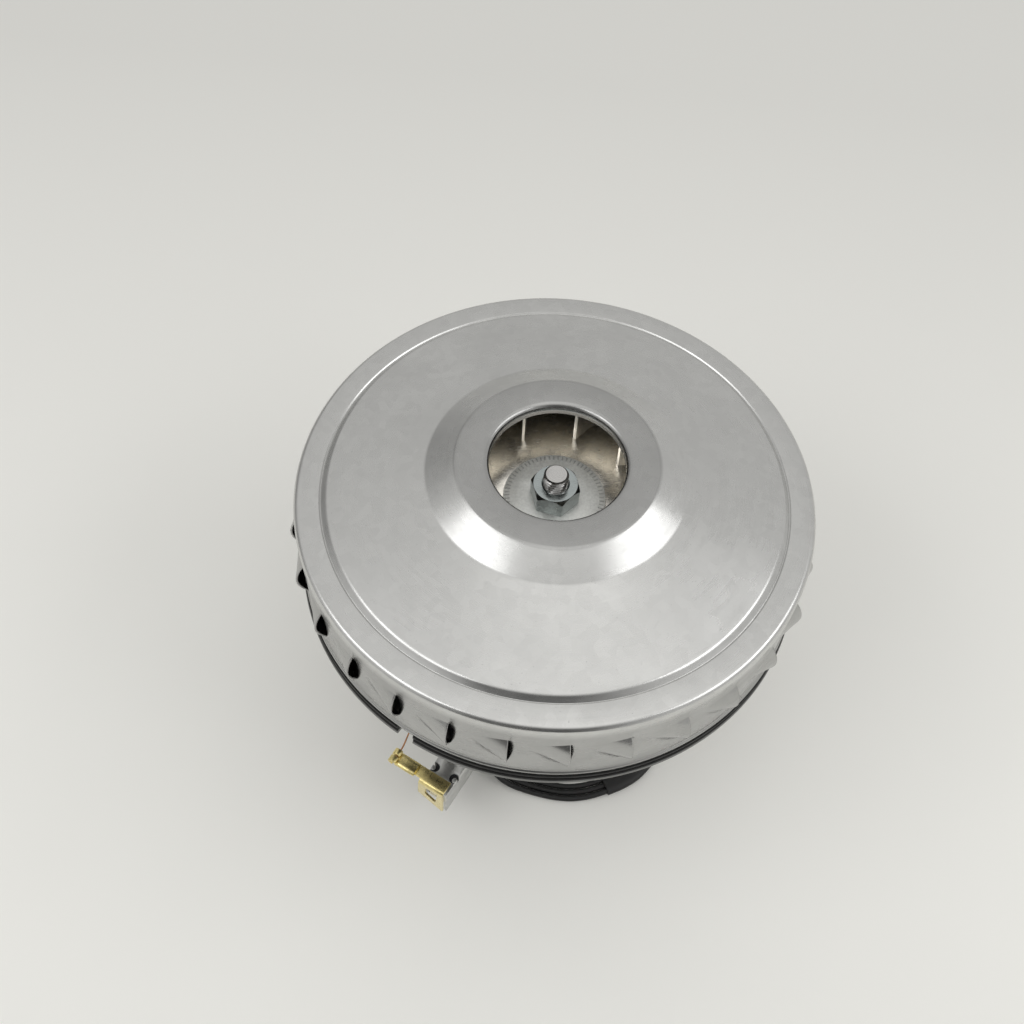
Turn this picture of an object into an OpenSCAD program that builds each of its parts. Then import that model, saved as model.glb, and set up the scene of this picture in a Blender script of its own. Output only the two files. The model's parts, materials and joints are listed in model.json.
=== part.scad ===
// Vacuum cleaner motor unit: a louvred fan on top of a universal motor.
// Millimetres, +Z up, the shaft's axis on Z, the foot of the lower frame on z = 0.

/* [Fan cover] */
// Outside diameter of the cover's side wall
cover_d = 135; // [128:0.5:142]
// Height of the cover from its lower edge to the inlet face
cover_h = 38; // [37:0.5:44]
// Sheet thickness of the cover
cover_t = 0.8; // [0.6:0.1:1]
// Drop from the inlet face to the flat rim
rim_drop = 11.3; // [10.5:0.1:12.5]
// Radius of the bend at the rim
rim_bend = 2; // [1.5:0.1:2.5]
// Diameter of the bead where the disc steps up
bead_d = 119; // [116:0.2:121]
// Height of the bead above the rim
bead_rise = 0.95; // [0.7:0.05:1.2]
// Diameter at the foot of the inlet cone
cone_foot_d = 67.4; // [62:0.2:72]
// Height of the cone's foot above the rim
cone_foot_rise = 6.8; // [6:0.1:7.5]
// Diameter of the flat inlet face
face_d = 51.6; // [48:0.2:56]
// Diameter of the inlet eye
inlet_d = 34.8; // [31:0.2:36]
// Depth of the rolled lip round the eye
lip_depth = 3.2; // [2.6:0.1:3.4]
// Radius of the lip's bend
lip_bend = 1.5; // [1.2:0.1:1.8]

/* [Louvres] */
// Number of louvres round the cover
louvre_n = 29; // [20:1:30]
// Angle of the first louvre's mouth
louvre_phase = 5.2; // [0:0.1:12]
// Depth of the louvres' middle below the rim
louvre_drop = 14.4; // [13.4:0.1:15.4]
// Radius of a louvre's mouth
hood_r = 8; // [7.4:0.1:8.4]
// How far a louvre stands out of the wall
hood_rise = 3; // [2.4:0.1:3.4]
// Length of a louvre's cone along the wall
hood_len = 17; // [14:0.5:19]

/* [Seal ring] */
// Thickness of the seal ring at its lip
ring_t = 1.95; // [1.6:0.05:2.6]
// Height of the seal ring
ring_h = 4.3; // [3.6:0.1:5]
// Width of the split in the seal ring
ring_split = 4.8; // [3:0.1:8]
// Angle of the split round the axis
ring_split_az = 242.8; // [220:0.1:260]

/* [Impeller] */
// Outside diameter of the impeller
impeller_d = 112; // [106:0.5:114]
// Diameter of the impeller's eye
eye_d = 40; // [38:0.5:44]
// Number of blades
blade_n = 9; // [6:1:12]
// Sheet thickness of plates and blades
fan_t = 0.8; // [0.6:0.1:1]
// Gap between the impeller and the cover's disc
fan_gap = 1.5; // [1:0.1:2]
// Depth of the impeller's floor below the rim
fan_floor_drop = 6; // [5.5:0.1:7]
// Height of the impeller nut
nut_h = 6; // [5:0.1:6.5]
// Width of the impeller nut across corners
nut_d = 13.4; // [12:0.1:15]
// Length of shaft that shows above the nut
thread_end = 4.2; // [3:0.1:4.5]
// Diameter of the shaft's threaded end
thread_d = 6.6; // [6:0.1:7.4]

/* [Bearings] */
// Outside diameter of a ball bearing
bearing_od = 22; // [21.6:0.1:23]
// Bore of a ball bearing, which is the shaft's diameter
bearing_id = 8; // [7.8:0.1:8.4]
// Width of a ball bearing
bearing_w = 7; // [6.6:0.1:8]
// Diameter of a ball
ball_d = 3.96; // [3.6:0.02:4]
// Number of balls
ball_n = 7; // [5:1:8]

/* [Armature] */
// Diameter of the armature core
armature_d = 38.8; // [37:0.1:39.2]
// Length of the armature and stator stacks
stack_len = 26; // [22:0.5:34]
// Height of the armature winding past each end of the stack
winding_over = 9.5; // [8.5:0.1:11]
// Number of armature slots and commutator bars
slot_n = 22; // [16:2:24]
// Diameter of the commutator
commutator_d = 23; // [22:0.1:24]
// Length of the commutator
commutator_len = 16.2; // [15.5:0.1:18]

/* [Stator] */
// Diameter of the stator core
stator_d = 92; // [90:0.5:94]
// Width of the stator core across its flats
stator_flat = 76; // [72:0.5:80]
// Air gap between armature and poles
air_gap = 0.6; // [0.5:0.05:0.8]
// Width of a pole's body
pole_w = 26; // [23:0.5:27]
// Depth of a field coil along its pole
coil_depth = 6; // [5:0.1:6.4]
// Thickness of a field coil round its pole
coil_build = 8; // [6.5:0.1:8.4]
// Number of turns shown on a coil's outside
coil_turns = 4; // [2:1:4]
// Diameter of the coil wire
coil_wire_d = 0.8; // [0.6:0.05:0.8]
// Diameter of the circle of stator screws
screw_circle_d = 86.4; // [85.6:0.1:87]

/* [Frame] */
// Sheet thickness of the bracket and the lower frame
frame_t = 1.2; // [1:0.1:1.4]
// Diameter of the lower frame's foot
foot_d = 56; // [48:0.5:60]
// Diameter of the lower frame's wall at the top
bowl_d = 80; // [79.4:0.1:80.4]
// Width of an air vent in the lower frame
vent_w = 8; // [5:0.5:9]

/* [Brush gear] */
// Angle of the first brush round the axis
brush_az = 244.3; // [240:0.1:248]
// Width of a carbon brush
brush_w = 4.6; // [4:0.1:5.4]
// Height of a carbon brush
brush_h = 9.3; // [8:0.1:9.6]
// Length of a carbon brush
brush_l = 30; // [22:0.5:32]
// Distance from the axis to the end of a brush arm
arm_reach = 61.6; // [58:0.1:64]
// Length of the brass cross strip
strip_l = 19.7; // [14:0.1:24]
// Width of the brass cross strip
strip_w = 4.3; // [3.5:0.1:5]
// Thickness of the brass
brass_t = 0.8; // [0.6:0.05:0.9]
// Length of the bent end tab
tab_l = 8.4; // [7:0.1:12]
// Outward lean of the end tab from upright
tab_lean = 12; // [8:0.5:20]

/* [Leads] */
// Diameter of a lead
lead_d = 1.8; // [1.6:0.05:1.9]
// Distance between leads
lead_pitch = 1.95; // [1.95:0.05:2.2]

/* [Hidden] */

// Small overlap that joins the solids of one piece
weld = 0.02;
// Clearance of a push fit between fixed pieces
fit = 0.05;
// Clearance of a moving piece in its guide
slide_gap = 0.1;
// Steps in a rounded bend
bend_steps = 5;

// Heights, from the foot upwards
low_bearing_z = frame_t + 0.4;
commutator_z = low_bearing_z + bearing_w + 1.8;
winding_z = commutator_z + commutator_len + 1;
stack_z = winding_z + winding_over + 0.9;
stack_top = stack_z + stack_len;
winding_top = stack_top + winding_over;
cup_z = winding_top + 1.9;
up_bearing_z = cup_z + frame_t;
deck_top = up_bearing_z + bearing_w - 0.4;
deck_z = deck_top - frame_t;
cover_z = deck_top - 2.2;
inlet_z = cover_z + cover_h;
rim_z = inlet_z - rim_drop;
bead_z = rim_z + bead_rise;
foot_z = rim_z + cone_foot_rise;

// Fan cover
cover_r = cover_d / 2;
wall_r = cover_r - cover_t;
bead_r = bead_d / 2;
cone_foot_r = cone_foot_d / 2;
face_r = face_d / 2;
inlet_r = inlet_d / 2;
lip_z = inlet_z - lip_depth;
hem_out = 0.5;
hem_h = 0.8;
disc_slope = (foot_z - bead_z) / (bead_r - cone_foot_r);
louvre_z = rim_z - louvre_drop;
hood_axis_r = cover_r + hood_rise - hood_r;
hood_tip_r = 0.9;
hood_t = 0.7;
hood_mouth = 0.6;

// Bracket and ring
deck_r = wall_r - fit;
ring_z = cover_z - ring_h;
ring_split_deg = ring_split / (deck_r + ring_t) * 180 / PI;
cup_r = bearing_od / 2;
cup_lip_r = cup_r - 4;
deck_vent_r = 24;
deck_vent_w = 13;
deck_vent_n = 6;
deck_vent_deg = 40;

// Impeller
impeller_r = impeller_d / 2;
eye_r = eye_d / 2;
thread_r = thread_d / 2;
shaft_r = bearing_id / 2;
fan_floor_z = rim_z - fan_floor_drop;
fan_plate_z = fan_floor_z - fan_t;
hub_r = 11;
hub_top_r = 13.5;
hub_t = 1;
nut_z = fan_floor_z + hub_t;
shaft_top = nut_z + nut_h + thread_end;
function fan_roof(r) = bead_z + disc_slope * (bead_r - r) - 1.05 * cover_t - fan_gap;

// Diffuser
diffuser_gap = 1.2;
diffuser_t = 1.6;
diffuser_r = wall_r - 0.5;
diffuser_top = fan_plate_z - diffuser_gap;
diffuser_bore_r = hub_r + 2;
retainer_r = 18;

// Armature, commutator and stator
armature_r = armature_d / 2;
commutator_r = commutator_d / 2;
commutator_hub_r = commutator_r - 3;
bore_r = armature_r + air_gap;
stator_r = stator_d / 2;
pole_az = brush_az + 90;
shoe_r = bore_r + 4;
shoe_deg = 60;
window_r = stator_r - 8;
window_w = stator_flat - 14;
liner_gap = 0.05;
liner_t = 0.5;
coil_x = shoe_r - 0.5;
coil_in_y = pole_w / 2 + liner_gap + liner_t + liner_gap;
coil_in_z = stack_len / 2 + 1;
coil_out_y = coil_in_y + coil_build;
coil_out_z = coil_in_z + coil_build;
coil_corner = 8;
stack_mid = stack_z + stack_len / 2;
coil_edge = 0.5;
turn_pitch = (coil_depth - 2 * coil_edge) / coil_turns;
turn_gap = 0.05;

// Screws
screw_r = 1.5;
screw_hole_r = 1.6;
screw_head_r = 2.6;
screw_head_h = 2.2;
head_room = screw_head_h + slide_gap;
screw_circle_r = screw_circle_d / 2;
screw_az = 50;
nut_corner_r = 2.9;
nut_t = 2.4;
leg_r = screw_circle_r + nut_corner_r + 0.2 + frame_t;
leg_deg = 22;

// Lower frame
flange_z = stack_z - frame_t;
bowl_r = bowl_d / 2;
bowl_turn_z = flange_z - 4;
vent_z = 12;
vent_h = 18;
vent_az = [-28, -56, -84, -112, -140];

// Brush gear, along a radius
tube_t = 0.4;
insulator_t = 0.7;
arm_t = 0.7;
tube_w = brush_w + 2 * (slide_gap + tube_t);
tube_h = brush_h + 2 * (slide_gap + tube_t);
insulator_w = tube_w + 2 * (fit + insulator_t);
insulator_h = tube_h + 2 * (fit + insulator_t);
arm_in_w = insulator_w + 2 * fit;
arm_w = arm_in_w + 2 * arm_t;
brush_z = commutator_z + 7.55;
arm_top = brush_z + insulator_h / 2 + fit + arm_t;
arm_z = brush_z - insulator_h / 2 - 0.3;
arm_start = 31;
insulator_start = commutator_r + 4;
tube_start = commutator_r + 3;
tube_end = arm_reach - 2;
brush_start = commutator_r + 0.15;
brush_end = brush_start + brush_l;
spring_r = brush_w / 2 - 0.55;
spring_wire_r = 0.35;
spring_turns = 6;
spring_start = brush_end + 0.1;
spring_end = tube_end - 0.1;

// Brass terminal on the end of an arm
strip_x = arm_reach - strip_w + slide_gap;
strip_end_y = arm_w / 2 - 0.8;
hook_r = 1.5;
hook_y = strip_end_y - strip_l + hook_r;
hook_z = arm_top + hook_r;
hook_over = 0.2;
tab_w = 8.6;
tab_edge = 1.7;
window_y = 2.2;
window_span = 4.4;
notch_r = 1.5;
notch_tongue_r = 0.8;
notch_x = strip_x - notch_r - 0.3;
notch_y = arm_w / 2 - 0.9;

// Copper wire from inside a terminal's hook, through a vent, to a field coil: radius, side, height
wire_route = [
    [strip_x + 2, hook_y, hook_z], [strip_x - 1.4, hook_y, hook_z], [51.5, -15.6, 26.4], [46, -16.6, 26.8],
    [41, -17.4, 27.2], [36, -18.2, 27.8], [31.5, -19.2, 28.8], [28, -21, 30.6], [25, -23.5, 33.4],
    [23.2, -25.5, 37]
];
wire_r = 0.25;

// Route of the bundle of leads from the grommet to the connector
lead_route = [
    [-10, -34, 8], [-10, -35.6, 8], [-10, -37.2, 7.2], [-9.5, -38.6, 5.6], [-8, -39.8, 3.7],
    [-5, -41.2, 2.1], [-0.8, -42.2, 1.2], [4.2, -43.1, 1], [9.5, -43.7, 1], [15, -43.5, 1],
    [20.2, -42.3, 1.3], [25.2, -40.2, 1.7], [29.8, -37.6, 1.7], [33.9, -34.4, 1.7], [37.2, -30.2, 1.7],
    [40.2, -25, 1.5], [43.4, -19.2, 1.2], [45.8, -13, 1.1], [47.2, -7, 1.1], [47.5, -1, 1.1],
    [47, 5, 1.1], [45.5, 11, 1.1], [43.5, 16.5, 1.3], [41, 22, 2], [38.5, 27.5, 2.6], [36, 33, 2.6]
];
lead_sides = 8;
sleeve_first = 11;
sleeve_last = 14;
sleeve_wall = 0.45;
sleeve_gap = 0.15;
grommet_w = 10;
grommet_h = 5.6;
grommet_in = 9;
connector_l = 14;
connector_w = 9.6;
connector_h = 5.2;

// Shared shapes

function arc(x, z, r, from, to) =
    [for (i = [0:bend_steps]) let (a = from + (to - from) * i / bend_steps) [x + r * cos(a), z + r * sin(a)]];

function unit(v) = v / norm(v);

// Direction of a path at one of its points
function along(path, i) = unit(path[min(i + 1, len(path) - 1)] - path[max(i - 1, 0)]);

// A path moved sideways, to the left of its direction
function beside(path, side) =
    [for (i = [0:len(path) - 1]) let (t = along(path, i), n = unit([-t[1], t[0], 0])) path[i] + side * n];

// Points of a tube's rings; each ring's reference vector fixes its turn
function ring_points(path, refs, r, sides) = [
    for (i = [0:len(path) - 1])
        let (t = along(path, i), u = unit(cross(refs[i], t)), v = cross(t, u))
        for (k = [0:sides - 1]) path[i] + r * (cos(360 * k / sides) * u + sin(360 * k / sides) * v)
];

module closed_tube(points, rings, sides) {
    walls = [
        for (i = [0:rings - 2], k = [0:sides - 1])
            let (a = i * sides + k, b = i * sides + (k + 1) % sides, c = a + sides, d = b + sides)
            each [[a, b, c], [b, d, c]]
    ];
    first = [for (k = [1:sides - 2]) [0, k + 1, k]];
    base = (rings - 1) * sides;
    last = [for (k = [1:sides - 2]) [base, base + k, base + k + 1]];
    polyhedron(points, concat([for (f = walls) [f[0], f[2], f[1]]], [for (f = first) [f[0], f[2], f[1]]],
        [for (f = last) [f[0], f[2], f[1]]]));
}

module tube_along(path, refs, r, sides) {
    closed_tube(ring_points(path, refs, r, sides), len(path), sides);
}

// Washer or tube between two heights
module ring(r_out, r_in, z0, z1) {
    translate([0, 0, z0]) difference() {
        cylinder(r = r_out, h = z1 - z0, $fn = 64);
        translate([0, 0, -1]) cylinder(r = r_in, h = z1 - z0 + 2, $fn = 64);
    }
}

// Sector of a ring, centred on an angle
module sector(r_out, r_in, z0, z1, az, span) {
    rotate([0, 0, az - span / 2]) rotate_extrude(angle = span, $fn = 96)
        translate([r_in, z0]) square([r_out - r_in, z1 - z0]);
}

// Box along a radius, centred sideways
module radial_box(x0, x1, w, z0, z1) {
    translate([x0, -w / 2, z0]) cube([x1 - x0, w, z1 - z0]);
}

// Fan cover and seal ring

module cover_shell() {
    lip_x = inlet_r + lip_bend;
    lip_y = inlet_z - lip_bend;
    edge_x = cover_r - rim_bend;
    edge_y = rim_z - rim_bend;
    step_r = bead_r + 1.2 * bead_rise;
    rotate_extrude($fn = 128) polygon(concat(
        [[inlet_r, lip_z]],
        arc(lip_x, lip_y, lip_bend, 180, 90),
        [[face_r, inlet_z], [cone_foot_r, foot_z], [bead_r, bead_z], [step_r, rim_z]],
        arc(edge_x, edge_y, rim_bend, 90, 0),
        [[cover_r, cover_z + hem_h + hem_out], [cover_r + hem_out, cover_z + hem_h]],
        [[cover_r + hem_out, cover_z], [wall_r, cover_z]],
        arc(edge_x, edge_y, rim_bend - cover_t, 0, 90),
        [[step_r - 0.4 * cover_t, rim_z - cover_t], [bead_r - 0.4 * cover_t, bead_z - cover_t]],
        [[cone_foot_r - 0.2 * cover_t, foot_z - 1.05 * cover_t], [face_r - 0.3 * cover_t, inlet_z - cover_t]],
        arc(lip_x, lip_y, lip_bend - cover_t, 90, 180),
        [[inlet_r + cover_t, lip_z]]
    ));
}

// A cone on its side, widest at the louvre's mouth, which it may run past
module hood(r_mouth, r_tip, past) {
    translate([hood_axis_r, past, louvre_z]) rotate([90, 0, 0])
        cylinder(r1 = r_mouth, r2 = r_tip, h = hood_len + past, $fn = 48);
}

module each_louvre() {
    for (i = [0:louvre_n - 1]) rotate([0, 0, louvre_phase + 360 * i / louvre_n]) children();
}

module fan_cover() {
    color("silver") difference() {
        union() {
            cover_shell();
            difference() {
                each_louvre() hood(hood_r, hood_tip_r, 0);
                translate([0, 0, cover_z]) cylinder(r = wall_r + cover_t / 3, h = cover_h, $fn = 128);
            }
        }
        each_louvre() hood(hood_r - hood_t, hood_tip_r - hood_t, hood_mouth);
    }
}

module seal_ring() {
    inner = deck_r;
    body = inner + ring_t - 0.3;
    lip = inner + ring_t;
    color([0.1, 0.1, 0.1]) rotate([0, 0, ring_split_az + ring_split_deg / 2])
        rotate_extrude(angle = 360 - ring_split_deg, $fn = 128) translate([0, ring_z]) polygon([
            [inner, 0], [lip - 0.35, 0], [lip, 0.4], [lip, 1.1], [body, 1.4], [body, 2], [body - 0.3, 2.3],
            [body - 0.3, 2.6], [body, 2.9], [body, ring_h - 0.4], [body - 0.2, ring_h], [inner, ring_h]
        ]);
}

// Diffuser and upper bracket

module diffuser() {
    vane_n = 15;
    vane_in = impeller_r + 2.2;
    vane_len = 9.2;
    vane_t = 1.4;
    vane_turn = 50;
    vane_top = rim_z - cover_t - 0.6;
    return_n = 12;
    return_len = 42;
    return_t = 1.6;
    return_turn = -35;
    return_h = diffuser_top - diffuser_t - deck_top + weld;
    color([0.12, 0.12, 0.13]) union() {
        ring(diffuser_r, diffuser_bore_r, diffuser_top - diffuser_t, diffuser_top);
        for (i = [0:vane_n - 1]) rotate([0, 0, 360 * i / vane_n]) translate([vane_in, 0, diffuser_top - weld])
            rotate([0, 0, vane_turn]) cube([vane_len, vane_t, vane_top - diffuser_top]);
        for (i = [0:return_n - 1]) rotate([0, 0, 360 * i / return_n]) translate([deck_vent_r, 0, deck_top])
            rotate([0, 0, return_turn]) cube([return_len, return_t, return_h]);
    }
}

module bracket_legs() {
    for (side = [0, 180], turn = [-screw_az, screw_az]) {
        sector(leg_r, leg_r - frame_t, stack_top, deck_z + weld, pole_az + side + turn, leg_deg);
        sector(leg_r - frame_t + weld, window_r + 1, stack_top, stack_top + frame_t,
            pole_az + side + turn, leg_deg);
    }
}

module each_screw() {
    for (side = [0, 180], turn = [-screw_az, screw_az])
        rotate([0, 0, pole_az + side + turn]) translate([screw_circle_r, 0, 0]) children();
}

module upper_bracket() {
    color("lightgray") difference() {
        union() {
            ring(deck_r, cup_r, deck_z, deck_top);
            ring(deck_r, deck_r - frame_t, ring_z + 0.2, deck_z + weld);
            ring(cup_r + frame_t, cup_r, cup_z, deck_z + weld);
            ring(cup_r + weld, cup_lip_r, cup_z, cup_z + frame_t);
            bracket_legs();
        }
        for (i = [0:deck_vent_n - 1])
            sector(deck_vent_r + deck_vent_w, deck_vent_r, deck_z - 1, deck_top + 1,
                60 * i, deck_vent_deg);
        each_screw() translate([0, 0, stack_top - 1]) cylinder(r = screw_hole_r, h = frame_t + 2, $fn = 32);
        each_retainer_screw() translate([0, 0, deck_z - 1])
            cylinder(r = retainer_screw_r, h = frame_t + 2, $fn = 32);
    }
}

retainer_z = up_bearing_z + bearing_w;
retainer_t = 1;
retainer_top = retainer_z + retainer_t;
retainer_circle_r = 15;
retainer_screw_r = 1.25;
retainer_head_r = 2.2;
retainer_head_h = 1.4;

module each_retainer_screw() {
    for (a = [30, 150, 270]) rotate([0, 0, a]) translate([retainer_circle_r, 0, 0]) children();
}

module bearing_retainer() {
    color("lightgray") difference() {
        ring(retainer_r, cup_r - 2, retainer_z, retainer_top);
        each_retainer_screw() translate([0, 0, retainer_z - 1])
            cylinder(r = retainer_screw_r + slide_gap, h = retainer_t + 2, $fn = 32);
    }
}

module retainer_screws() {
    point = 1;
    color("silver") each_retainer_screw() {
        translate([0, 0, deck_z - point])
            cylinder(r = retainer_screw_r, h = retainer_top + weld - deck_z + point, $fn = 32);
        translate([0, 0, retainer_top]) cylinder(r = retainer_head_r, h = retainer_head_h, $fn = 32);
    }
}

// Ball bearings

ball_gap = 0.05;
pitch_r = (bearing_id + bearing_od) / 4;
shoulder = 0.42 * ball_d;
shield_t = 0.4;
cage_t = 1.2;
cage_h = ball_d + 2 * slide_gap + 0.8;

module bearing_outer(z) {
    color("silver") translate([0, 0, z]) rotate_extrude($fn = 64) difference() {
        translate([pitch_r + shoulder, 0]) square([cup_r - pitch_r - shoulder, bearing_w]);
        translate([pitch_r, bearing_w / 2]) circle(r = ball_d / 2 + ball_gap, $fn = 48);
    }
}

module bearing_inner(z) {
    color("silver") translate([0, 0, z]) rotate_extrude($fn = 64) difference() {
        translate([shaft_r, 0]) square([pitch_r - shoulder - shaft_r, bearing_w]);
        translate([pitch_r, bearing_w / 2]) circle(r = ball_d / 2 + ball_gap, $fn = 48);
    }
}

module each_ball(z) {
    for (i = [0:ball_n - 1]) rotate([0, 0, 360 * i / ball_n])
        translate([pitch_r, 0, z + bearing_w / 2]) children();
}

module bearing_balls(z) {
    color("white") each_ball(z) sphere(r = ball_d / 2, $fn = 32);
}

module bearing_cage(z) {
    color("goldenrod") difference() {
        ring(pitch_r + cage_t / 2, pitch_r - cage_t / 2,
            z + (bearing_w - cage_h) / 2, z + (bearing_w + cage_h) / 2);
        each_ball(z) sphere(r = ball_d / 2 + slide_gap, $fn = 32);
    }
}

module bearing_shields(z) {
    color("gray") for (base = [z + 0.1, z + bearing_w - 0.1 - shield_t])
        ring(pitch_r + shoulder, pitch_r - shoulder + 0.3, base, base + shield_t);
}

module upper_bearing_outer_ring() { bearing_outer(up_bearing_z); }
module upper_bearing_inner_ring() { bearing_inner(up_bearing_z); }
module upper_bearing_balls() { bearing_balls(up_bearing_z); }
module upper_bearing_cage() { bearing_cage(up_bearing_z); }
module upper_bearing_shields() { bearing_shields(up_bearing_z); }
module lower_bearing_outer_ring() { bearing_outer(low_bearing_z); }
module lower_bearing_inner_ring() { bearing_inner(low_bearing_z); }
module lower_bearing_balls() { bearing_balls(low_bearing_z); }
module lower_bearing_cage() { bearing_cage(low_bearing_z); }
module lower_bearing_shields() { bearing_shields(low_bearing_z); }

module wave_washer() {
    color("gray") ring(cup_r - 0.2, cup_r - 2.2, frame_t, low_bearing_z);
}

// Impeller

module impeller_top_plate() {
    color("gainsboro") rotate_extrude($fn = 96) polygon([
        [eye_r, fan_roof(eye_r) - fan_t], [impeller_r, fan_roof(impeller_r) - fan_t],
        [impeller_r, fan_roof(impeller_r)], [eye_r, fan_roof(eye_r)]
    ]);
}

// One blade in plan: an arc from the eye that trails as it goes outwards
module blade_plan() {
    inner = eye_r;
    outer = impeller_r - 1.5;
    sweep_deg = 45;
    belly = 25;
    p1 = [inner, 0];
    p2 = outer * [cos(sweep_deg), -sin(sweep_deg)];
    mid = (p1 + p2) / 2;
    chord = p2 - p1;
    centre = mid - belly * [-chord[1], chord[0]] / norm(chord);
    bend_r = norm(p1 - centre);
    intersection() {
        difference() {
            circle(r = outer, $fn = 96);
            circle(r = inner + 0.5, $fn = 96);
        }
        translate(centre) difference() {
            circle(r = bend_r + fan_t / 2, $fn = 96);
            circle(r = bend_r - fan_t / 2, $fn = 96);
        }
        rotate(atan2(centre[1], centre[0])) translate([-2 * outer, 0]) square([4 * outer, 2 * outer]);
    }
}

module impeller_blades() {
    color("gainsboro") for (i = [0:blade_n - 1]) rotate([0, 0, 360 * i / blade_n]) intersection() {
        translate([0, 0, fan_floor_z]) linear_extrude(cover_h) blade_plan();
        rotate_extrude($fn = 96) polygon([
            [eye_r - 1, fan_floor_z], [impeller_r, fan_floor_z],
            [impeller_r, fan_roof(impeller_r) - fan_t], [eye_r - 1, fan_roof(eye_r - 1) - fan_t]
        ]);
    }
}

module impeller_bottom_plate() { color("gainsboro") ring(impeller_r, shaft_r, fan_plate_z, fan_floor_z); }
module impeller_lower_washer() { color("silver") ring(hub_r, shaft_r, fan_plate_z - hub_t, fan_plate_z); }
module impeller_upper_washer() { color("silver") ring(hub_top_r, thread_r + fit, fan_floor_z, nut_z); }
module impeller_spacer() {
    color("gray") ring(shaft_r + 2, shaft_r, up_bearing_z + bearing_w, fan_plate_z - hub_t);
}

module impeller_nut() {
    chamfer = 0.9;
    nut_turn = -10;
    color("lightsteelblue") rotate([0, 0, nut_turn]) intersection() {
        difference() {
            translate([0, 0, nut_z]) cylinder(d = nut_d, h = nut_h, $fn = 6);
            translate([0, 0, nut_z - 1]) cylinder(r = thread_r, h = nut_h + 2, $fn = 48);
        }
        rotate_extrude($fn = 64) polygon([
            [0, nut_z - 1], [nut_d, nut_z - 1], [nut_d, nut_z], [nut_d / 2, nut_z + nut_h - chamfer / 2],
            [nut_d / 2 - chamfer, nut_z + nut_h], [0, nut_z + nut_h]
        ]);
    }
}

// Rotor

module shaft() {
    tip = 0.6;
    color("silver") rotate_extrude($fn = 64) polygon([
        [0, frame_t + 0.5], [shaft_r - tip, frame_t + 0.5], [shaft_r, frame_t + 0.5 + tip],
        [shaft_r, fan_floor_z], [thread_r, fan_floor_z], [thread_r, shaft_top - tip],
        [thread_r - tip, shaft_top], [0, shaft_top]
    ]);
}

slot_w = 2.4;
slot_in_r = 10.5;
slot_out_r = armature_r - 1.6;
slot_mouth = 1;

module armature_core() {
    color("dimgray") translate([0, 0, stack_z]) linear_extrude(stack_len) difference() {
        circle(r = armature_r, $fn = 96);
        circle(r = shaft_r, $fn = 64);
        for (i = [0:slot_n - 1]) rotate(360 * i / slot_n) {
            translate([slot_in_r, -slot_w / 2]) square([slot_out_r - slot_in_r, slot_w]);
            translate([slot_out_r - weld, -slot_mouth / 2]) square([4, slot_mouth]);
        }
    }
}

disc_t = 0.6;
disc_r = slot_in_r - 0.3;

module armature_end_discs() {
    color("saddlebrown") for (z = [stack_z - disc_t, stack_top]) ring(disc_r, shaft_r, z, z + disc_t);
}

module armature_winding() {
    end_r = slot_out_r - 0.8;
    bar_w = slot_w - 0.4;
    low_top = stack_z - disc_t;
    up_base = stack_top + disc_t;
    color([0.72, 0.4, 0.2]) union() {
        rotate_extrude($fn = 64) polygon([
            [shaft_r, winding_z + 1], [slot_in_r, winding_z], [end_r - 2, winding_z + 1.5],
            [end_r, winding_z + 4], [end_r, low_top], [shaft_r, low_top]
        ]);
        rotate_extrude($fn = 64) polygon([
            [shaft_r, up_base], [end_r, up_base], [end_r, winding_top - 4], [end_r - 2, winding_top - 1.5],
            [slot_in_r, winding_top], [shaft_r, winding_top - 1]
        ]);
        for (i = [0:slot_n - 1]) rotate([0, 0, 360 * i / slot_n])
            radial_box(slot_in_r + 0.3, slot_out_r - 0.4, bar_w, low_top - weld, up_base + weld);
    }
}

module shaft_collar() { color("gray") ring(shaft_r + 1.5, shaft_r, winding_top, up_bearing_z); }

module commutator_hub() {
    color("maroon") ring(commutator_hub_r, shaft_r, commutator_z, commutator_z + commutator_len);
}

module commutator_bars() {
    bar_gap = 0.5;
    riser_r = commutator_r + 1.5;
    riser_h = 1.6;
    top = commutator_z + commutator_len;
    bar_deg = 360 / slot_n - bar_gap / commutator_r * 180 / PI;
    color([0.8, 0.5, 0.3]) for (i = [0:slot_n - 1]) rotate([0, 0, 360 * i / slot_n - bar_deg / 2])
        rotate_extrude(angle = bar_deg, $fn = 96) polygon([
            [commutator_hub_r, commutator_z], [commutator_r, commutator_z], [commutator_r, top - riser_h],
            [riser_r, top - riser_h], [riser_r, top], [commutator_hub_r, top]
        ]);
}

module commutator_spacer() {
    color("gray") ring(shaft_r + 1.6, shaft_r, low_bearing_z + bearing_w, commutator_z);
}

// Stator

module stator_plan() {
    difference() {
        intersection() {
            circle(r = stator_r, $fn = 96);
            square([stator_d + 2, stator_flat], center = true);
        }
        circle(r = bore_r, $fn = 96);
        difference() {
            intersection() {
                circle(r = window_r, $fn = 96);
                square([2 * window_r + 2, window_w], center = true);
            }
            square([2 * window_r + 2, pole_w], center = true);
            for (side = [0, 180]) rotate(side) intersection() {
                circle(r = shoe_r, $fn = 96);
                polygon([[0, 0], 2 * shoe_r * [cos(shoe_deg), -sin(shoe_deg)], [4 * shoe_r, 0],
                    2 * shoe_r * [cos(shoe_deg), sin(shoe_deg)]]);
            }
        }
    }
}

module stator_core() {
    color("slategray") difference() {
        translate([0, 0, stack_z]) rotate([0, 0, pole_az]) linear_extrude(stack_len) stator_plan();
        each_screw() translate([0, 0, stack_z - 1]) cylinder(r = screw_hole_r, h = stack_len + 2, $fn = 32);
    }
}

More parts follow.
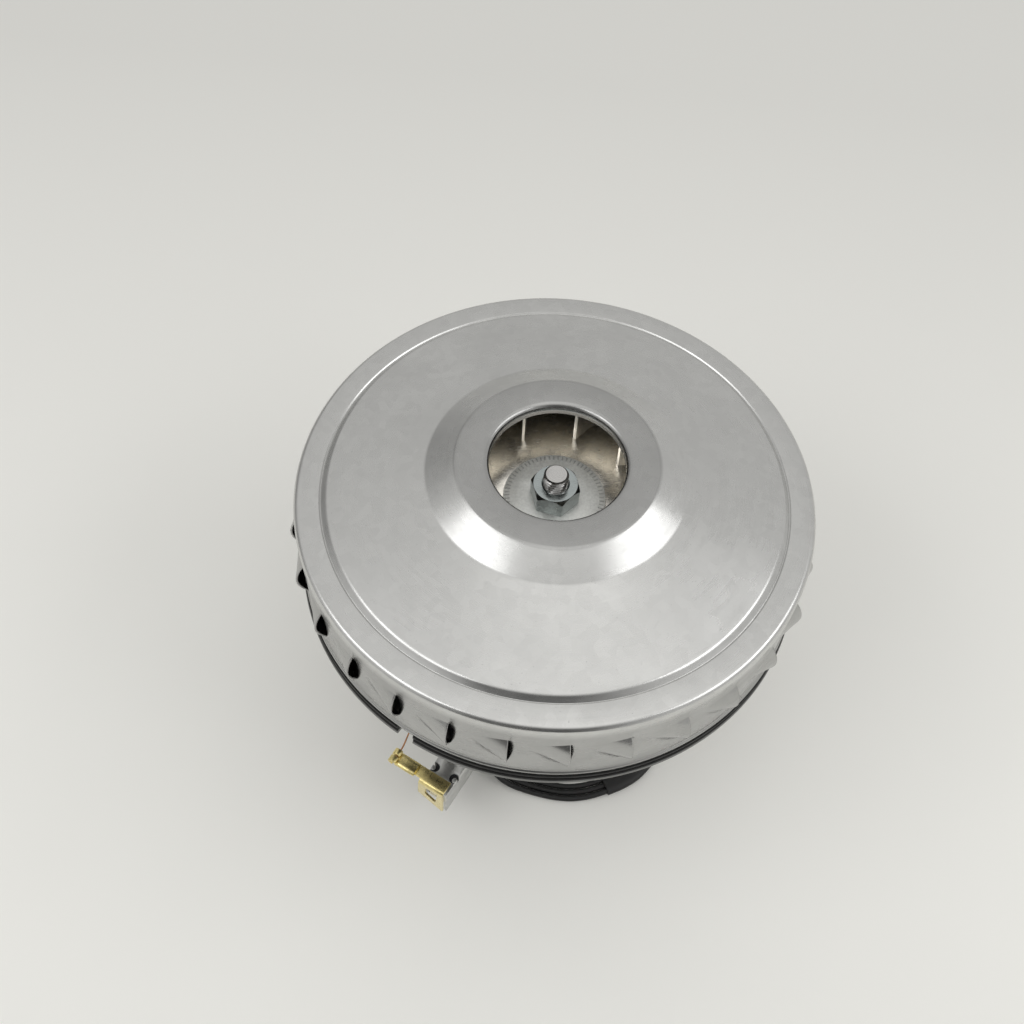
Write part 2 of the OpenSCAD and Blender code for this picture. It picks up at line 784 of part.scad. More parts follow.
// Puts a shape drawn as sideways by height on a pole, with its depth along the pole
module on_pole(side) {
    rotate([0, 0, pole_az + side]) translate([coil_x, 0, stack_mid]) rotate([90, 0, 90]) children();
}

module slot_liners() {
    in_y = pole_w / 2 + liner_gap;
    in_z = stack_len / 2 + liner_gap;
    color("tan") for (side = [0, 180]) on_pole(side) linear_extrude(coil_depth) difference() {
        square([2 * (in_y + liner_t), 2 * (coil_in_z - liner_gap)], center = true);
        square([2 * in_y, 2 * in_z], center = true);
    }
}

// Outline of a coil: 24 points to a loop, three in each corner and three on each straight
function corner_point(q, a, grow) =
    let (sy = (q == 0 || q == 3) ? 1 : -1, sz = q < 2 ? 1 : -1, r = coil_corner + grow)
    [sy * (coil_out_y - coil_corner) + r * cos(90 * q + a),
        sz * (coil_out_z - coil_corner) + r * sin(90 * q + a)];
function coil_outline(i, grow) =
    let (q = floor(i / 6) % 4, k = i % 6, a = corner_point(q, 90, grow), b = corner_point((q + 1) % 4, 0, grow))
    k < 3 ? corner_point(q, 45 * k, grow) : a + (b - a) * (k - 2) / 4;
turn_out = turn_gap + coil_wire_d / 2;
turn_path = [
    for (i = [0:24 * coil_turns])
        let (p = coil_outline(i, turn_out)) [p[0], p[1], coil_edge + turn_pitch * i / 24]
];
turn_self_gap = min([
    for (i = [0:24 * (coil_turns - 1)]) norm(turn_path[i + 24] - turn_path[i])
]) - coil_wire_d;
echo(coil_turn_gap = turn_self_gap);

module field_coil(side) {
    color([0.72, 0.4, 0.2]) on_pole(side) {
        linear_extrude(coil_depth) difference() {
            polygon([for (i = [0:23]) coil_outline(i, 0)]);
            square([2 * coil_in_y, 2 * coil_in_z], center = true);
        }
        tube_along(turn_path, [for (p = turn_path) [0, 0, 1]], coil_wire_d / 2, 6);
    }
}

module field_coil_left() { field_coil(180); }
module field_coil_right() { field_coil(0); }

module coil_wires() {
    color([0.75, 0.42, 0.25]) for (side = [0, 180]) rotate([0, 0, brush_az + side])
        tube_along(wire_route, [for (p = wire_route) [0, 0, 1]], wire_r, 8);
}

module stator_screws() {
    top = stack_top + frame_t + nut_t + 0.8;
    color("silver") each_screw() {
        translate([0, 0, flange_z - weld]) cylinder(r = screw_r, h = top - flange_z + weld, $fn = 32);
        translate([0, 0, flange_z - screw_head_h]) cylinder(r = screw_head_r, h = screw_head_h, $fn = 32);
    }
}

module stator_nuts() {
    color("silver") each_screw() translate([0, 0, stack_top + frame_t]) difference() {
        cylinder(r = nut_corner_r, h = nut_t, $fn = 6);
        translate([0, 0, -1]) cylinder(r = screw_r, h = nut_t + 2, $fn = 32);
    }
}

// Lower frame

module bowl() {
    foot_r = foot_d / 2;
    rotate_extrude($fn = 96) {
        polygon([
            [0, 0], [foot_r - 1, 0], [foot_r, 1], [bowl_r, bowl_turn_z], [bowl_r, flange_z],
            [stator_r, flange_z], [stator_r, stack_z], [bowl_r - frame_t, stack_z],
            [bowl_r - frame_t, bowl_turn_z], [foot_r - frame_t, frame_t], [0, frame_t]
        ]);
        translate([cup_r, frame_t - weld]) square([frame_t, bearing_w - 1]);
    }
}

module brush_arm() {
    difference() {
        radial_box(arm_start, arm_reach, arm_w, arm_z, arm_top);
        radial_box(arm_start - 1, arm_reach + 1, arm_in_w, arm_z - 1, arm_top - arm_t);
        for (side = [-1, 1]) translate([notch_x, side * notch_y, arm_top - 3]) difference() {
            cylinder(r = notch_r, h = 4, $fn = 32);
            translate([0.4, 0.5 * side, -1]) cylinder(r = notch_tongue_r, h = 6, $fn = 32);
        }
    }
}

module lower_frame() {
    color("lightgray") difference() {
        union() {
            bowl();
            for (side = [0, 180]) rotate([0, 0, brush_az + side]) brush_arm();
        }
        for (side = [0, 180]) rotate([0, 0, brush_az + side]) {
            radial_box(cup_r + 4, arm_start + 8, arm_in_w, arm_z, arm_top - arm_t);
            for (a = vent_az) rotate([0, 0, a])
                radial_box(foot_d / 2 - 6, bowl_r + 3, vent_w, vent_z, vent_z + vent_h);
        }
        each_screw() translate([0, 0, flange_z - 1]) cylinder(r = screw_hole_r, h = frame_t + 2, $fn = 32);
        each_screw() translate([0, 0, flange_z - head_room])
            cylinder(r = screw_head_r + slide_gap, h = head_room, $fn = 32);
        grommet_block();
    }
}

// Brush gear

module at_brush(side) {
    rotate([0, 0, brush_az + side]) children();
}

module brush_insulator(side) {
    color([0.13, 0.11, 0.1]) at_brush(side) difference() {
        radial_box(insulator_start, tube_end, insulator_w,
            brush_z - insulator_h / 2, brush_z + insulator_h / 2);
        radial_box(insulator_start - 1, tube_end + 1, tube_w + 2 * fit,
            brush_z - tube_h / 2 - fit, brush_z + tube_h / 2 + fit);
    }
}

module brush_tube(side) {
    color("goldenrod") at_brush(side) difference() {
        radial_box(tube_start, tube_end + tube_t, tube_w, brush_z - tube_h / 2, brush_z + tube_h / 2);
        radial_box(tube_start - 1, tube_end, tube_w - 2 * tube_t,
            brush_z - tube_h / 2 + tube_t, brush_z + tube_h / 2 - tube_t);
    }
}

module carbon_brush(side) {
    color([0.2, 0.2, 0.22]) at_brush(side) difference() {
        radial_box(commutator_r - 1, brush_end, brush_w, brush_z - brush_h / 2, brush_z + brush_h / 2);
        translate([0, 0, brush_z - brush_h]) cylinder(r = brush_start, h = 2 * brush_h, $fn = 96);
    }
}

// Spring behind a brush: 8 points to a curl, with straight ends along its axis
spring_curl = 2 * spring_wire_r;
spring_pitch = (spring_end - spring_start - 2 * spring_curl) / spring_turns;
spring_coil = [
    for (i = [0:8 * spring_turns])
        [spring_start + spring_curl + spring_pitch * i / 8, spring_r * cos(45 * i), spring_r * sin(45 * i)]
];
spring_path = concat([spring_coil[0] - [spring_curl, 0, 0]], spring_coil,
    [spring_coil[8 * spring_turns] + [spring_curl, 0, 0]]);
spring_refs = concat([[0, 1, 0]], [for (p = spring_coil) unit([0, p[1], p[2]])], [[0, 1, 0]]);
echo(spring_gap = spring_pitch - 2 * spring_wire_r);

module brush_spring(side) {
    color("silver") at_brush(side) translate([0, 0, brush_z])
        tube_along(spring_path, spring_refs, spring_wire_r, 6);
}

module brush_terminal(side) {
    tab_y = strip_end_y - tab_w;
    color([0.62, 0.55, 0.22]) at_brush(side) union() {
        translate([strip_x, hook_y, arm_top]) cube([strip_w, strip_l - hook_r, brass_t]);
        translate([strip_x - hook_over, hook_y, hook_z]) rotate([0, 90, 0]) difference() {
            cylinder(r = hook_r, h = strip_w + 2 * hook_over, $fn = 32);
            translate([0, 0, -1]) cylinder(r = hook_r - brass_t, h = strip_w + 3, $fn = 32);
            translate([-2 * hook_r, 0, -1]) cube([2 * hook_r - 0.2, 2 * hook_r, strip_w + 3]);
        }
        translate([strip_x + strip_w - weld, tab_y, arm_top + brass_t]) rotate([0, -tab_lean, 0]) difference() {
            translate([0, 0, -tab_l]) cube([brass_t, tab_w, tab_l]);
            translate([-1, window_y, tab_edge - tab_l]) cube([brass_t + 2, window_span, tab_l - 2 * tab_edge]);
        }
    }
}

module brush_insulator_a() { brush_insulator(0); }
module brush_insulator_b() { brush_insulator(180); }
module brush_tube_a() { brush_tube(0); }
module brush_tube_b() { brush_tube(180); }
module carbon_brush_a() { carbon_brush(0); }
module carbon_brush_b() { carbon_brush(180); }
module brush_spring_a() { brush_spring(0); }
module brush_spring_b() { brush_spring(180); }
module brush_terminal_a() { brush_terminal(0); }
module brush_terminal_b() { brush_terminal(180); }

// Leads

module grommet_block() {
    start = lead_route[0];
    translate([start[0] - grommet_w / 2, start[1], start[2] - grommet_h / 2])
        cube([grommet_w, grommet_in, grommet_h]);
}

module lead_grommet() { color([0.1, 0.1, 0.1]) grommet_block(); }

module lead(side) {
    path = beside(lead_route, side);
    color([0.08, 0.08, 0.08]) tube_along(path, [for (p = path) [0, 0, 1]], lead_d / 2, lead_sides);
}

module lead_inner() { lead(lead_pitch); }
module lead_middle() { lead(0); }
module lead_outer() { lead(-lead_pitch); }

// Flat band round the leads, swept along the same points
module band(half_w, half_h, extra) {
    points = [
        for (i = [sleeve_first:sleeve_last])
            let (t = along(lead_route, i), n = unit([-t[1], t[0], 0]),
                push = i == sleeve_first ? -extra : (i == sleeve_last ? extra : 0))
            for (c = [[1, -1], [1, 1], [-1, 1], [-1, -1]])
                lead_route[i] + push * t + c[0] * half_w * n + [0, 0, c[1] * half_h]
    ];
    closed_tube(points, sleeve_last - sleeve_first + 1, 4);
}

module lead_sleeve() {
    half_w = lead_pitch + lead_d / 2 + sleeve_gap;
    half_h = lead_d / 2 + sleeve_gap;
    color([0.05, 0.05, 0.05]) difference() {
        band(half_w + sleeve_wall, half_h + sleeve_wall, 0);
        band(half_w, half_h, 1);
    }
}

module lead_connector() {
    last = len(lead_route) - 1;
    end = lead_route[last];
    way = along(lead_route, last);
    latch = [8, 3.2, 0.9];
    socket = [6, 1.6, 1.8];
    color([0.9, 0.9, 0.86]) translate([end[0], end[1], 0]) rotate([0, 0, atan2(way[1], way[0])]) difference() {
        union() {
            translate([0, -connector_w / 2, 0]) cube([connector_l, connector_w, connector_h]);
            translate([connector_l / 2 - latch[0] / 2, -latch[1] / 2, connector_h - weld]) cube(latch);
        }
        for (y = [-lead_pitch, 0, lead_pitch])
            translate([connector_l - socket[0], y - socket[1] / 2, connector_h / 2 - socket[2] / 2])
                cube([socket[0] + 1, socket[1], socket[2]]);
    }
}

fan_cover();
seal_ring();
diffuser();
upper_bracket();
bearing_retainer();
retainer_screws();
upper_bearing_outer_ring();
upper_bearing_inner_ring();
upper_bearing_balls();
upper_bearing_cage();
upper_bearing_shields();
lower_bearing_outer_ring();
lower_bearing_inner_ring();
lower_bearing_balls();
lower_bearing_cage();
lower_bearing_shields();
wave_washer();
impeller_top_plate();
impeller_blades();
impeller_bottom_plate();
impeller_spacer();
impeller_lower_washer();
impeller_upper_washer();
impeller_nut();
shaft();
armature_core();
armature_end_discs();
armature_winding();
shaft_collar();
commutator_hub();
commutator_bars();
commutator_spacer();
stator_core();
slot_liners();
field_coil_left();
field_coil_right();
coil_wires();
stator_screws();
stator_nuts();
lower_frame();
brush_insulator_a();
brush_insulator_b();
brush_tube_a();
brush_tube_b();
carbon_brush_a();
carbon_brush_b();
brush_spring_a();
brush_spring_b();
brush_terminal_a();
brush_terminal_b();
lead_grommet();
lead_inner();
lead_middle();
lead_outer();
lead_sleeve();
lead_connector();
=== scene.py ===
"""Looks of a vacuum cleaner motor unit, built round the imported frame.

Shapes are drawn in millimetres in the frame's own axes and scaled to metres when a piece is made.
"""

import json
import math

import bmesh
import bpy
from mathutils import Matrix, Vector


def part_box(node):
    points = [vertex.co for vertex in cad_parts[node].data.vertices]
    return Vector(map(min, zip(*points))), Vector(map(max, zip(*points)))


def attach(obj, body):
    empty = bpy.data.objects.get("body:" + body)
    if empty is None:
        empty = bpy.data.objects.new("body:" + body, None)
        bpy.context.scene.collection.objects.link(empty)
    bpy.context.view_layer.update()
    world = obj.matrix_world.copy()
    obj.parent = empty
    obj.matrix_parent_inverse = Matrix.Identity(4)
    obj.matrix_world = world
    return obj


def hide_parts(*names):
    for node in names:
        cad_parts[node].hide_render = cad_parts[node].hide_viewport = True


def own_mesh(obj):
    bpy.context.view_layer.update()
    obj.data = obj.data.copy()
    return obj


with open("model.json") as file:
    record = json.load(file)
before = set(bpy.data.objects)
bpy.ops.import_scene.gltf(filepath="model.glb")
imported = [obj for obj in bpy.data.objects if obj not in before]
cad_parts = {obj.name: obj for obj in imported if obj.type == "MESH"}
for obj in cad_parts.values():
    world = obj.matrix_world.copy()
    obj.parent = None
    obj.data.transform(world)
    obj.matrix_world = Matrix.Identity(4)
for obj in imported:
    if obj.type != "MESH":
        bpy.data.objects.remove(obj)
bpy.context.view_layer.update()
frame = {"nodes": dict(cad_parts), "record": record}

MM = 0.001


def box_mm(node):
    """Lowest and highest corner of a CAD node, in millimetres."""
    low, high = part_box(node)
    return low / MM, high / MM


# Sizes taken from the frame
cover_z, inlet_z = box_mm("fan_cover")[0].z, box_mm("fan_cover")[1].z
ring_low, ring_high = box_mm("seal_ring")
nut_low, nut_high = box_mm("impeller_nut")
shaft_low, shaft_high = box_mm("shaft")
stack_low, stack_high = box_mm("stator_core")
winding_low, winding_high = box_mm("armature_winding")
plate_high = box_mm("impeller_bottom_plate")[1]

# Fan cover
cover_r = 67.5
sheet_t = 0.5
rim_z = inlet_z - 11.3
rim_bend = 1.7
bead_r = 59.05
bead_z = rim_z + 1.05
groove_r = 60.55
groove_z = rim_z - 0.35
groove_w = 0.4
cone_foot_r = 33.7
cone_foot_z = rim_z + 6.8
face_r = 25.8
inlet_r = 17.4
lip_z = inlet_z - 3.2
hem_out = 0.5
hem_h = 0.8

# Louvres
louvre_n = 29
louvre_phase = 5.2
louvre_pitch = 2 * math.pi * cover_r / louvre_n
louvre_top = rim_z - 8.1
louvre_low = rim_z - 20.7
hood_rise = 2.5
hood_reach = 10.0
hood_tip_top = rim_z - 9.4
hood_tip_low = rim_z - 12.0
mouth_cut = 0.1
mouth_dent = 0.9

# Impeller nut and hub washer
nut_turn = -10
hub_top_r = 13.5

# Brush gear
brush_az = 244.3
brush_z = 17.95
spring_from = 41.75
spring_to = 59.9
spring_r = 1.75
spring_wire_r = 0.35
spring_turns = 6
strip_in = 57.4
strip_out = 61.7
strip_end_y = 3.5
hook_r = 1.5
hook_y = -14.7
arm_top = box_mm("brush_terminal_a")[1].z - 2 * hook_r
brass_t = 0.8
strip_z = arm_top + brass_t / 2
barrel_y = -8.2
tab_w = 8.6
tab_l = 8.4
tab_lean = 12
wire_r = 0.25

# Field coils
pole_az = brush_az + 90
coil_x = 23.5
coil_depth = 6.0
coil_in_y = 13.65
coil_out_y = 22.45
coil_out_z = 22.8
coil_corner = 8.0
coil_wire_d = 0.8
stack_mid = (stack_low.z + stack_high.z) / 2

# Leads
lead_d = 1.8
lead_pitch = 1.95
lead_route = [
    (-10, -34, 8), (-10, -35.6, 8), (-10, -37.2, 7.2), (-9.5, -38.6, 5.6), (-8, -39.8, 3.7),
    (-5, -41.2, 2.1), (-0.8, -42.2, 1.2), (4.2, -43.1, 1), (9.5, -43.7, 1), (15, -43.5, 1),
    (20.2, -42.3, 1.3), (25.2, -40.2, 1.7), (29.8, -37.6, 1.7), (33.9, -34.4, 1.7), (37.2, -30.2, 1.7),
    (40.2, -25, 1.5), (43.4, -19.2, 1.2), (45.8, -13, 1.1), (47.2, -7, 1.1), (47.5, -1, 1.1), (47, 5, 1.1),
    (45.5, 11, 1.1), (43.5, 16.5, 1.3), (41, 22, 2), (38.5, 27.5, 2.6), (36, 33, 2.6),
]
sleeve_first = 11
sleeve_last = 14
sleeve_gap = 0.55
sleeve_wall = 0.45
wire_route = [
    (59.4, -14.7, 26.1), (56, -14.7, 26.1), (51.5, -15.6, 26.4), (46, -16.6, 26.8), (41, -17.4, 27.2),
    (36, -18.2, 27.8), (31.5, -19.2, 28.8), (28, -21, 30.6), (25, -23.5, 33.4), (23.2, -25.5, 37),
]


# Shape helpers

class Shape:
    """Points and faces of one mesh, in millimetres."""

    def __init__(self):
        self.points = []
        self.faces = []

    def add(self, points, faces, place=None):
        base = len(self.points)
        moved = [Vector(p) for p in points]
        self.points += [place @ p for p in moved] if place else moved
        self.faces += [[base + i for i in face] for face in faces]
        return self


def turned_by(degrees):
    """Turn about the shaft's axis."""
    return Matrix.Rotation(math.radians(degrees), 4, "Z")


def polar(r, degrees, z=0.0):
    a = math.radians(degrees)
    return Vector((r * math.cos(a), r * math.sin(a), z))


def rounded(corners, steps=6):
    """A line of (x, y, radius) corners with each corner rounded to its radius."""
    line = []
    last = len(corners) - 1
    for i, (x, y, r) in enumerate(corners):
        here = Vector((x, y))
        if i in (0, last) or r == 0:
            line.append(here)
            continue
        back = (Vector(corners[i - 1][:2]) - here).normalized()
        ahead = (Vector(corners[i + 1][:2]) - here).normalized()
        half = back.angle(ahead) / 2
        centre = here + (back + ahead).normalized() * (r / math.sin(half))
        start = here + back * (r / math.tan(half)) - centre
        turn = math.pi - 2 * half
        if back.x * ahead.y - back.y * ahead.x > 0:
            turn = -turn
        for k in range(steps + 1):
            c, s = math.cos(turn * k / steps), math.sin(turn * k / steps)
            line.append(centre + Vector((start.x * c - start.y * s, start.x * s + start.y * c)))
    return line


def grid_faces(rows, columns, wrap_rows=False, wrap_columns=False):
    """Faces of a grid of points that is stored row by row."""
    faces = []
    for i in range(rows if wrap_rows else rows - 1):
        for k in range(columns if wrap_columns else columns - 1):
            a, b = i * columns + k, i * columns + (k + 1) % columns
            c, d = (i + 1) % rows * columns + (k + 1) % columns, (i + 1) % rows * columns + k
            faces.append([a, b, c, d])
    return faces


def lathe(profile, columns=96, start=0.0, sweep=360.0, closed=False, push=None):
    """Turns (radius, height) points round the axis; push(angle, radius, height) changes a radius."""
    full = sweep >= 360
    count = columns if full else columns + 1
    points = []
    for r, z in profile:
        for k in range(count):
            angle = start + sweep * k / columns
            points.append(polar(push(angle, r, z) if push else r, angle, z))
    faces = grid_faces(len(profile), count, wrap_rows=closed, wrap_columns=full)
    if closed and not full:
        faces.append([i * count for i in range(len(profile))])
        faces.append([i * count + count - 1 for i in reversed(range(len(profile)))])
    return points, faces


def smooth_path(points, per=6):
    """A smooth curve through points, with a number of steps between each two."""
    line = [Vector(p) for p in points]
    ends = [2 * line[0] - line[1]] + line + [2 * line[-1] - line[-2]]
    path = []
    for i in range(len(line) - 1):
        a, b, c, d = ends[i:i + 4]
        for k in range(per):
            t = k / per
            path.append(0.5 * (2 * b + (c - a) * t + (2 * a - 5 * b + 4 * c - d) * t**2
                               + (3 * b - a - 3 * c + d) * t**3))
    path.append(line[-1])
    return path


def tube(path, radius, sides=10, section=None):
    """A closed tube along a path, round or with the (side, height) outline of section(angle)."""
    points = []
    across = None
    last = len(path) - 1
    for i, here in enumerate(path):
        ahead = (path[min(i + 1, last)] - path[max(i - 1, 0)]).normalized()
        if across is None:
            guide = Vector((0, 0, 1)) if abs(ahead.z) < 0.9 else Vector((1, 0, 0))
            across = guide.cross(ahead)
        across = (across - ahead * across.dot(ahead)).normalized()
        over = ahead.cross(across)
        for k in range(sides):
            a = 2 * math.pi * k / sides
            side, height = section(a) if section else (radius * math.cos(a), radius * math.sin(a))
            points.append(here + side * across + height * over)
    faces = grid_faces(len(path), sides, wrap_columns=True)
    faces.append(list(reversed(range(sides))))
    faces.append([last * sides + k for k in range(sides)])
    return points, faces


def squared_oval(half_w, half_h, a):
    """Point at an angle of an oval with flattened sides, as side and height."""
    c, s = math.cos(a), math.sin(a)
    return half_w * math.copysign(abs(c) ** 0.6, c), half_h * math.copysign(abs(s) ** 0.8, s)


def slab(outline, thickness):
    """A plate: a flat outline of (x, y) points from height 0 to a thickness."""
    count = len(outline)
    points = [Vector((p[0], p[1], z)) for z in (0, thickness) for p in outline]
    faces = grid_faces(2, count, wrap_columns=True)
    faces.append(list(reversed(range(count))))
    faces.append([count + k for k in range(count)])
    return points, faces


def finish_mesh(mesh, sharp, closed=True, bevel=0.0):
    """Joins doubled points, rounds sharp edges by a bevel and sets smooth shading."""
    work = bmesh.new()
    work.from_mesh(mesh)
    bmesh.ops.remove_doubles(work, verts=work.verts, dist=0.002 * MM)
    if closed:
        bmesh.ops.recalc_face_normals(work, faces=work.faces)
    if bevel:
        bmesh.ops.dissolve_limit(work, angle_limit=math.radians(0.5), verts=work.verts, edges=work.edges)
        hard = [e for e in work.edges if e.is_manifold and e.calc_face_angle() > math.radians(30)]
        bmesh.ops.bevel(work, geom=hard, offset=bevel * MM, offset_type="OFFSET", segments=2, profile=0.5,
                        affect="EDGES", clamp_overlap=True)
    for edge in work.edges:
        edge.smooth = not edge.is_manifold or edge.calc_face_angle() < math.radians(sharp)
    for face in work.faces:
        face.smooth = True
    work.to_mesh(mesh)
    work.free()


def settle(thing, look, body, stands_for):
    """Gives a new piece its material and its body, and hides the CAD parts it stands for."""
    if thing.name not in bpy.context.scene.collection.objects:
        bpy.context.scene.collection.objects.link(thing)
    thing.data.materials.clear()
    thing.data.materials.append(look)
    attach(thing, body)
    if stands_for:
        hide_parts(*stands_for)
    return thing


def piece(name, shape, slot, body="root", stands_for=(), sharp=40, closed=True, bevel=0.0):
    mesh = bpy.data.meshes.new(name)
    mesh.from_pydata([p * MM for p in shape.points], [], shape.faces)
    finish_mesh(mesh, sharp, closed, bevel)
    return settle(bpy.data.objects.new(name, mesh), LOOKS[slot], body, stands_for)


def dressed(node, slot, body="root", bevel=0.2):
    """A copy of a CAD node with its sharp edges rounded, which stands for the node."""
    mesh = frame["nodes"][node].data.copy()
    mesh.name = "finished_" + node
    finish_mesh(mesh, 40, bevel=bevel)
    look = LOOKS[OWN_LOOK.get(node, slot)]
    return settle(bpy.data.objects.new("finished_" + node, mesh), look, body, [node])


# Materials

class Nodes:
    """A tree of shader nodes, with short ways to add to it."""

    def __init__(self, tree):
        self.tree = tree

    def new(self, kind, **settings):
        node = self.tree.nodes.new(kind)
        for key, value in settings.items():
            setattr(node, key, value)
        return node

    def feed(self, socket, value):
        """Links a node's output to a socket, or gives the socket a plain value."""
        if isinstance(value, bpy.types.NodeSocket):
            self.tree.links.new(value, socket)
        else:
            socket.default_value = value

    def split(self, vector):
        """The X, Y and Z parts of a vector."""
        node = self.new("ShaderNodeSeparateXYZ")
        self.feed(node.inputs[0], vector)
        return node.outputs

    def math(self, operation, *values):
        node = self.new("ShaderNodeMath", operation=operation)
        for socket, value in zip(node.inputs, values):
            self.feed(socket, value)
        return node.outputs[0]

    def between(self, value, low, high, at_low, at_high):
        """Maps a range of values to another range, and holds its ends."""
        node = self.new("ShaderNodeMapRange")
        names = ("Value", "From Min", "From Max", "To Min", "To Max")
        for name, number in zip(names, (value, low, high, at_low, at_high)):
            self.feed(node.inputs[name], number)
        return node.outputs["Result"]


class Look(Nodes):
    """A material whose textures are measured in millimetres in the piece's own frame."""

    def __init__(self, name, colour, metal, rough, **sockets):
        self.material = bpy.data.materials.new(name)
        self.material.use_nodes = True
        super().__init__(self.material.node_tree)
        self.shader = self.tree.nodes["Principled BSDF"]
        self.set("Base Color", (*colour, 1))
        self.set("Metallic", metal)
        self.set("Roughness", rough)
        for socket, value in sockets.items():
            self.set(socket.replace("_", " "), value)
        scale = self.new("ShaderNodeVectorMath", operation="SCALE")
        self.feed(scale.inputs[0], self.new("ShaderNodeTexCoord").outputs["Object"])
        self.feed(scale.inputs["Scale"], 1 / MM)
        self.place = scale.outputs[0]

    def set(self, socket, value):
        self.feed(self.shader.inputs[socket], value)

    def stretched(self, x, y, z):
        """Position with each axis times its own factor."""
        node = self.new("ShaderNodeVectorMath", operation="MULTIPLY")
        self.feed(node.inputs[0], self.place)
        self.feed(node.inputs[1], (x, y, z))
        return node.outputs[0]

    def round_axis(self, r=1.0, a=1.0, z=1.0):
        """Coordinates of radius, length round the axis and height, each times its own factor."""
        split = self.split(self.place)
        flat = self.new("ShaderNodeCombineXYZ")
        for axis in "XY":
            self.feed(flat.inputs[axis], split[axis])
        length = self.new("ShaderNodeVectorMath", operation="LENGTH")
        self.feed(length.inputs[0], flat.outputs[0])
        turn = self.math("ARCTAN2", split["Y"], split["X"])
        joined = self.new("ShaderNodeCombineXYZ")
        parts = (("X", length.outputs["Value"], r), ("Y", turn, a), ("Z", split["Z"], z))
        for socket, value, factor in parts:
            self.feed(joined.inputs[socket], self.math("MULTIPLY", value, factor))
        return joined.outputs[0]

    def radius(self):
        """Distance from the shaft's axis."""
        return self.split(self.round_axis())["X"]

    def along(self, axis):
        """Position along one of the frame's axes."""
        return self.split(self.place)[axis]

    def noise(self, size, detail=2.0, place=None, rough=0.5):
        """Soft noise with blobs of about one size."""
        node = self.new("ShaderNodeTexNoise")
        self.feed(node.inputs["Vector"], place or self.place)
        node.inputs["Scale"].default_value = 1 / size
        node.inputs["Detail"].default_value = detail
        node.inputs["Roughness"].default_value = rough
        return node.outputs["Fac"]

    def cells(self, size, place=None):
        """A random value from 0 to 1 for each crystal-like cell of about one size."""
        node = self.new("ShaderNodeTexVoronoi")
        self.feed(node.inputs["Vector"], place or self.place)
        node.inputs["Scale"].default_value = 1 / size
        grey = self.new("ShaderNodeSeparateColor")
        self.feed(grey.inputs[0], node.outputs["Color"])
        return grey.outputs["Red"]

    def bands(self, pitch, direction="Z", wobble=0.0, place=None):
        """Even bands of one pitch across a direction."""
        node = self.new("ShaderNodeTexWave", wave_type="BANDS", bands_direction=direction)
        self.feed(node.inputs["Vector"], place or self.place)
        node.inputs["Scale"].default_value = 2 * math.pi / (20 * pitch)
        node.inputs["Distortion"].default_value = wobble
        return node.outputs["Fac"]

    def mixed(self, share, one, other):
        """Colour one, going over to the other as the share goes from 0 to 1."""
        node = self.new("ShaderNodeMix", data_type="RGBA")
        self.feed(node.inputs["Factor"], share)
        for socket, colour in ((node.inputs[6], one), (node.inputs[7], other)):
            self.feed(socket, colour if isinstance(colour, bpy.types.NodeSocket) else (*colour, 1))
        return node.outputs[2]

    def bump(self, *layers):
        """Surface relief from (height, depth in millimetres) layers."""
        normal = None
        for height, depth in layers:
            node = self.new("ShaderNodeBump")
            node.inputs["Distance"].default_value = depth * MM
            self.feed(node.inputs["Height"], height)
            if normal:
                self.feed(node.inputs["Normal"], normal)
            normal = node.outputs["Normal"]
        self.set("Normal", normal)


def shade(colour, factor):
    return tuple(min(1.0, c * factor) for c in colour)


def sheet_steel(name, colour, rough, spangle, contrast, darken_within_r=0.0):
    """Galvanised sheet: crystal-like cells, clouds, specks and drawing marks.

    With a darkening radius, its colour is darker inside that radius, and painted shade darkens the drawn
    wall.
    """
    look = Look(name, colour, 1.0, rough)
    cloud = look.noise(14, 3)
    cell = look.cells(spangle)
    speck = look.noise(0.55, 2, rough=0.6)
    base = look.mixed(cell, shade(colour, 1 - contrast), shade(colour, 1 + contrast))
    base = look.mixed(look.between(speck, 0.68, 0.76, 0, 0.55), base, shade(colour, 0.55))
    base = look.mixed(look.between(cloud, 0.35, 0.7, 0, 0.3), base, shade(colour, 0.82))
    if darken_within_r:
        near_axis = look.between(look.radius(), darken_within_r - 0.4, darken_within_r + 0.4, 0.3, 0)
        # Painted shade: the drawn wall's colour is darkened to stand for its dim reflection of the shadowed
        # floor.
        drawn_wall_shade = look.between(look.along("Z"), rim_z - 5, rim_z - 2, 0.3, 0)
        base = look.mixed(look.math("MAXIMUM", near_axis, drawn_wall_shade), base, (0, 0, 0))
    look.set("Base Color", base)
    wear = look.noise(2.2, 4, look.round_axis(2.5, 12, 2.5))
    gloss = look.math("ADD", look.between(cloud, 0.3, 0.7, rough - 0.05, rough + 0.06),
                      look.between(wear, 0.3, 0.7, -0.03, 0.03))
    look.set("Roughness", gloss)
    look.bump((look.noise(5, 2), 0.006), (speck, 0.003), (wear, 0.002))
    return look.material


def turned_steel(name, colour, rough, metal=1.0):
    """Turned metal: fine lines round the axis and a few stains."""
    look = Look(name, colour, metal, rough)
    lines = look.noise(1, 3, look.round_axis(9, 0.6, 9))
    stain = look.noise(4, 3)
    look.set("Base Color", look.mixed(look.between(stain, 0.5, 0.75, 0, 0.5), colour, shade(colour, 0.7)))
    look.set("Roughness", look.between(lines, 0.3, 0.7, rough - 0.08, rough + 0.1))
    look.bump((lines, 0.015))
    return look.material


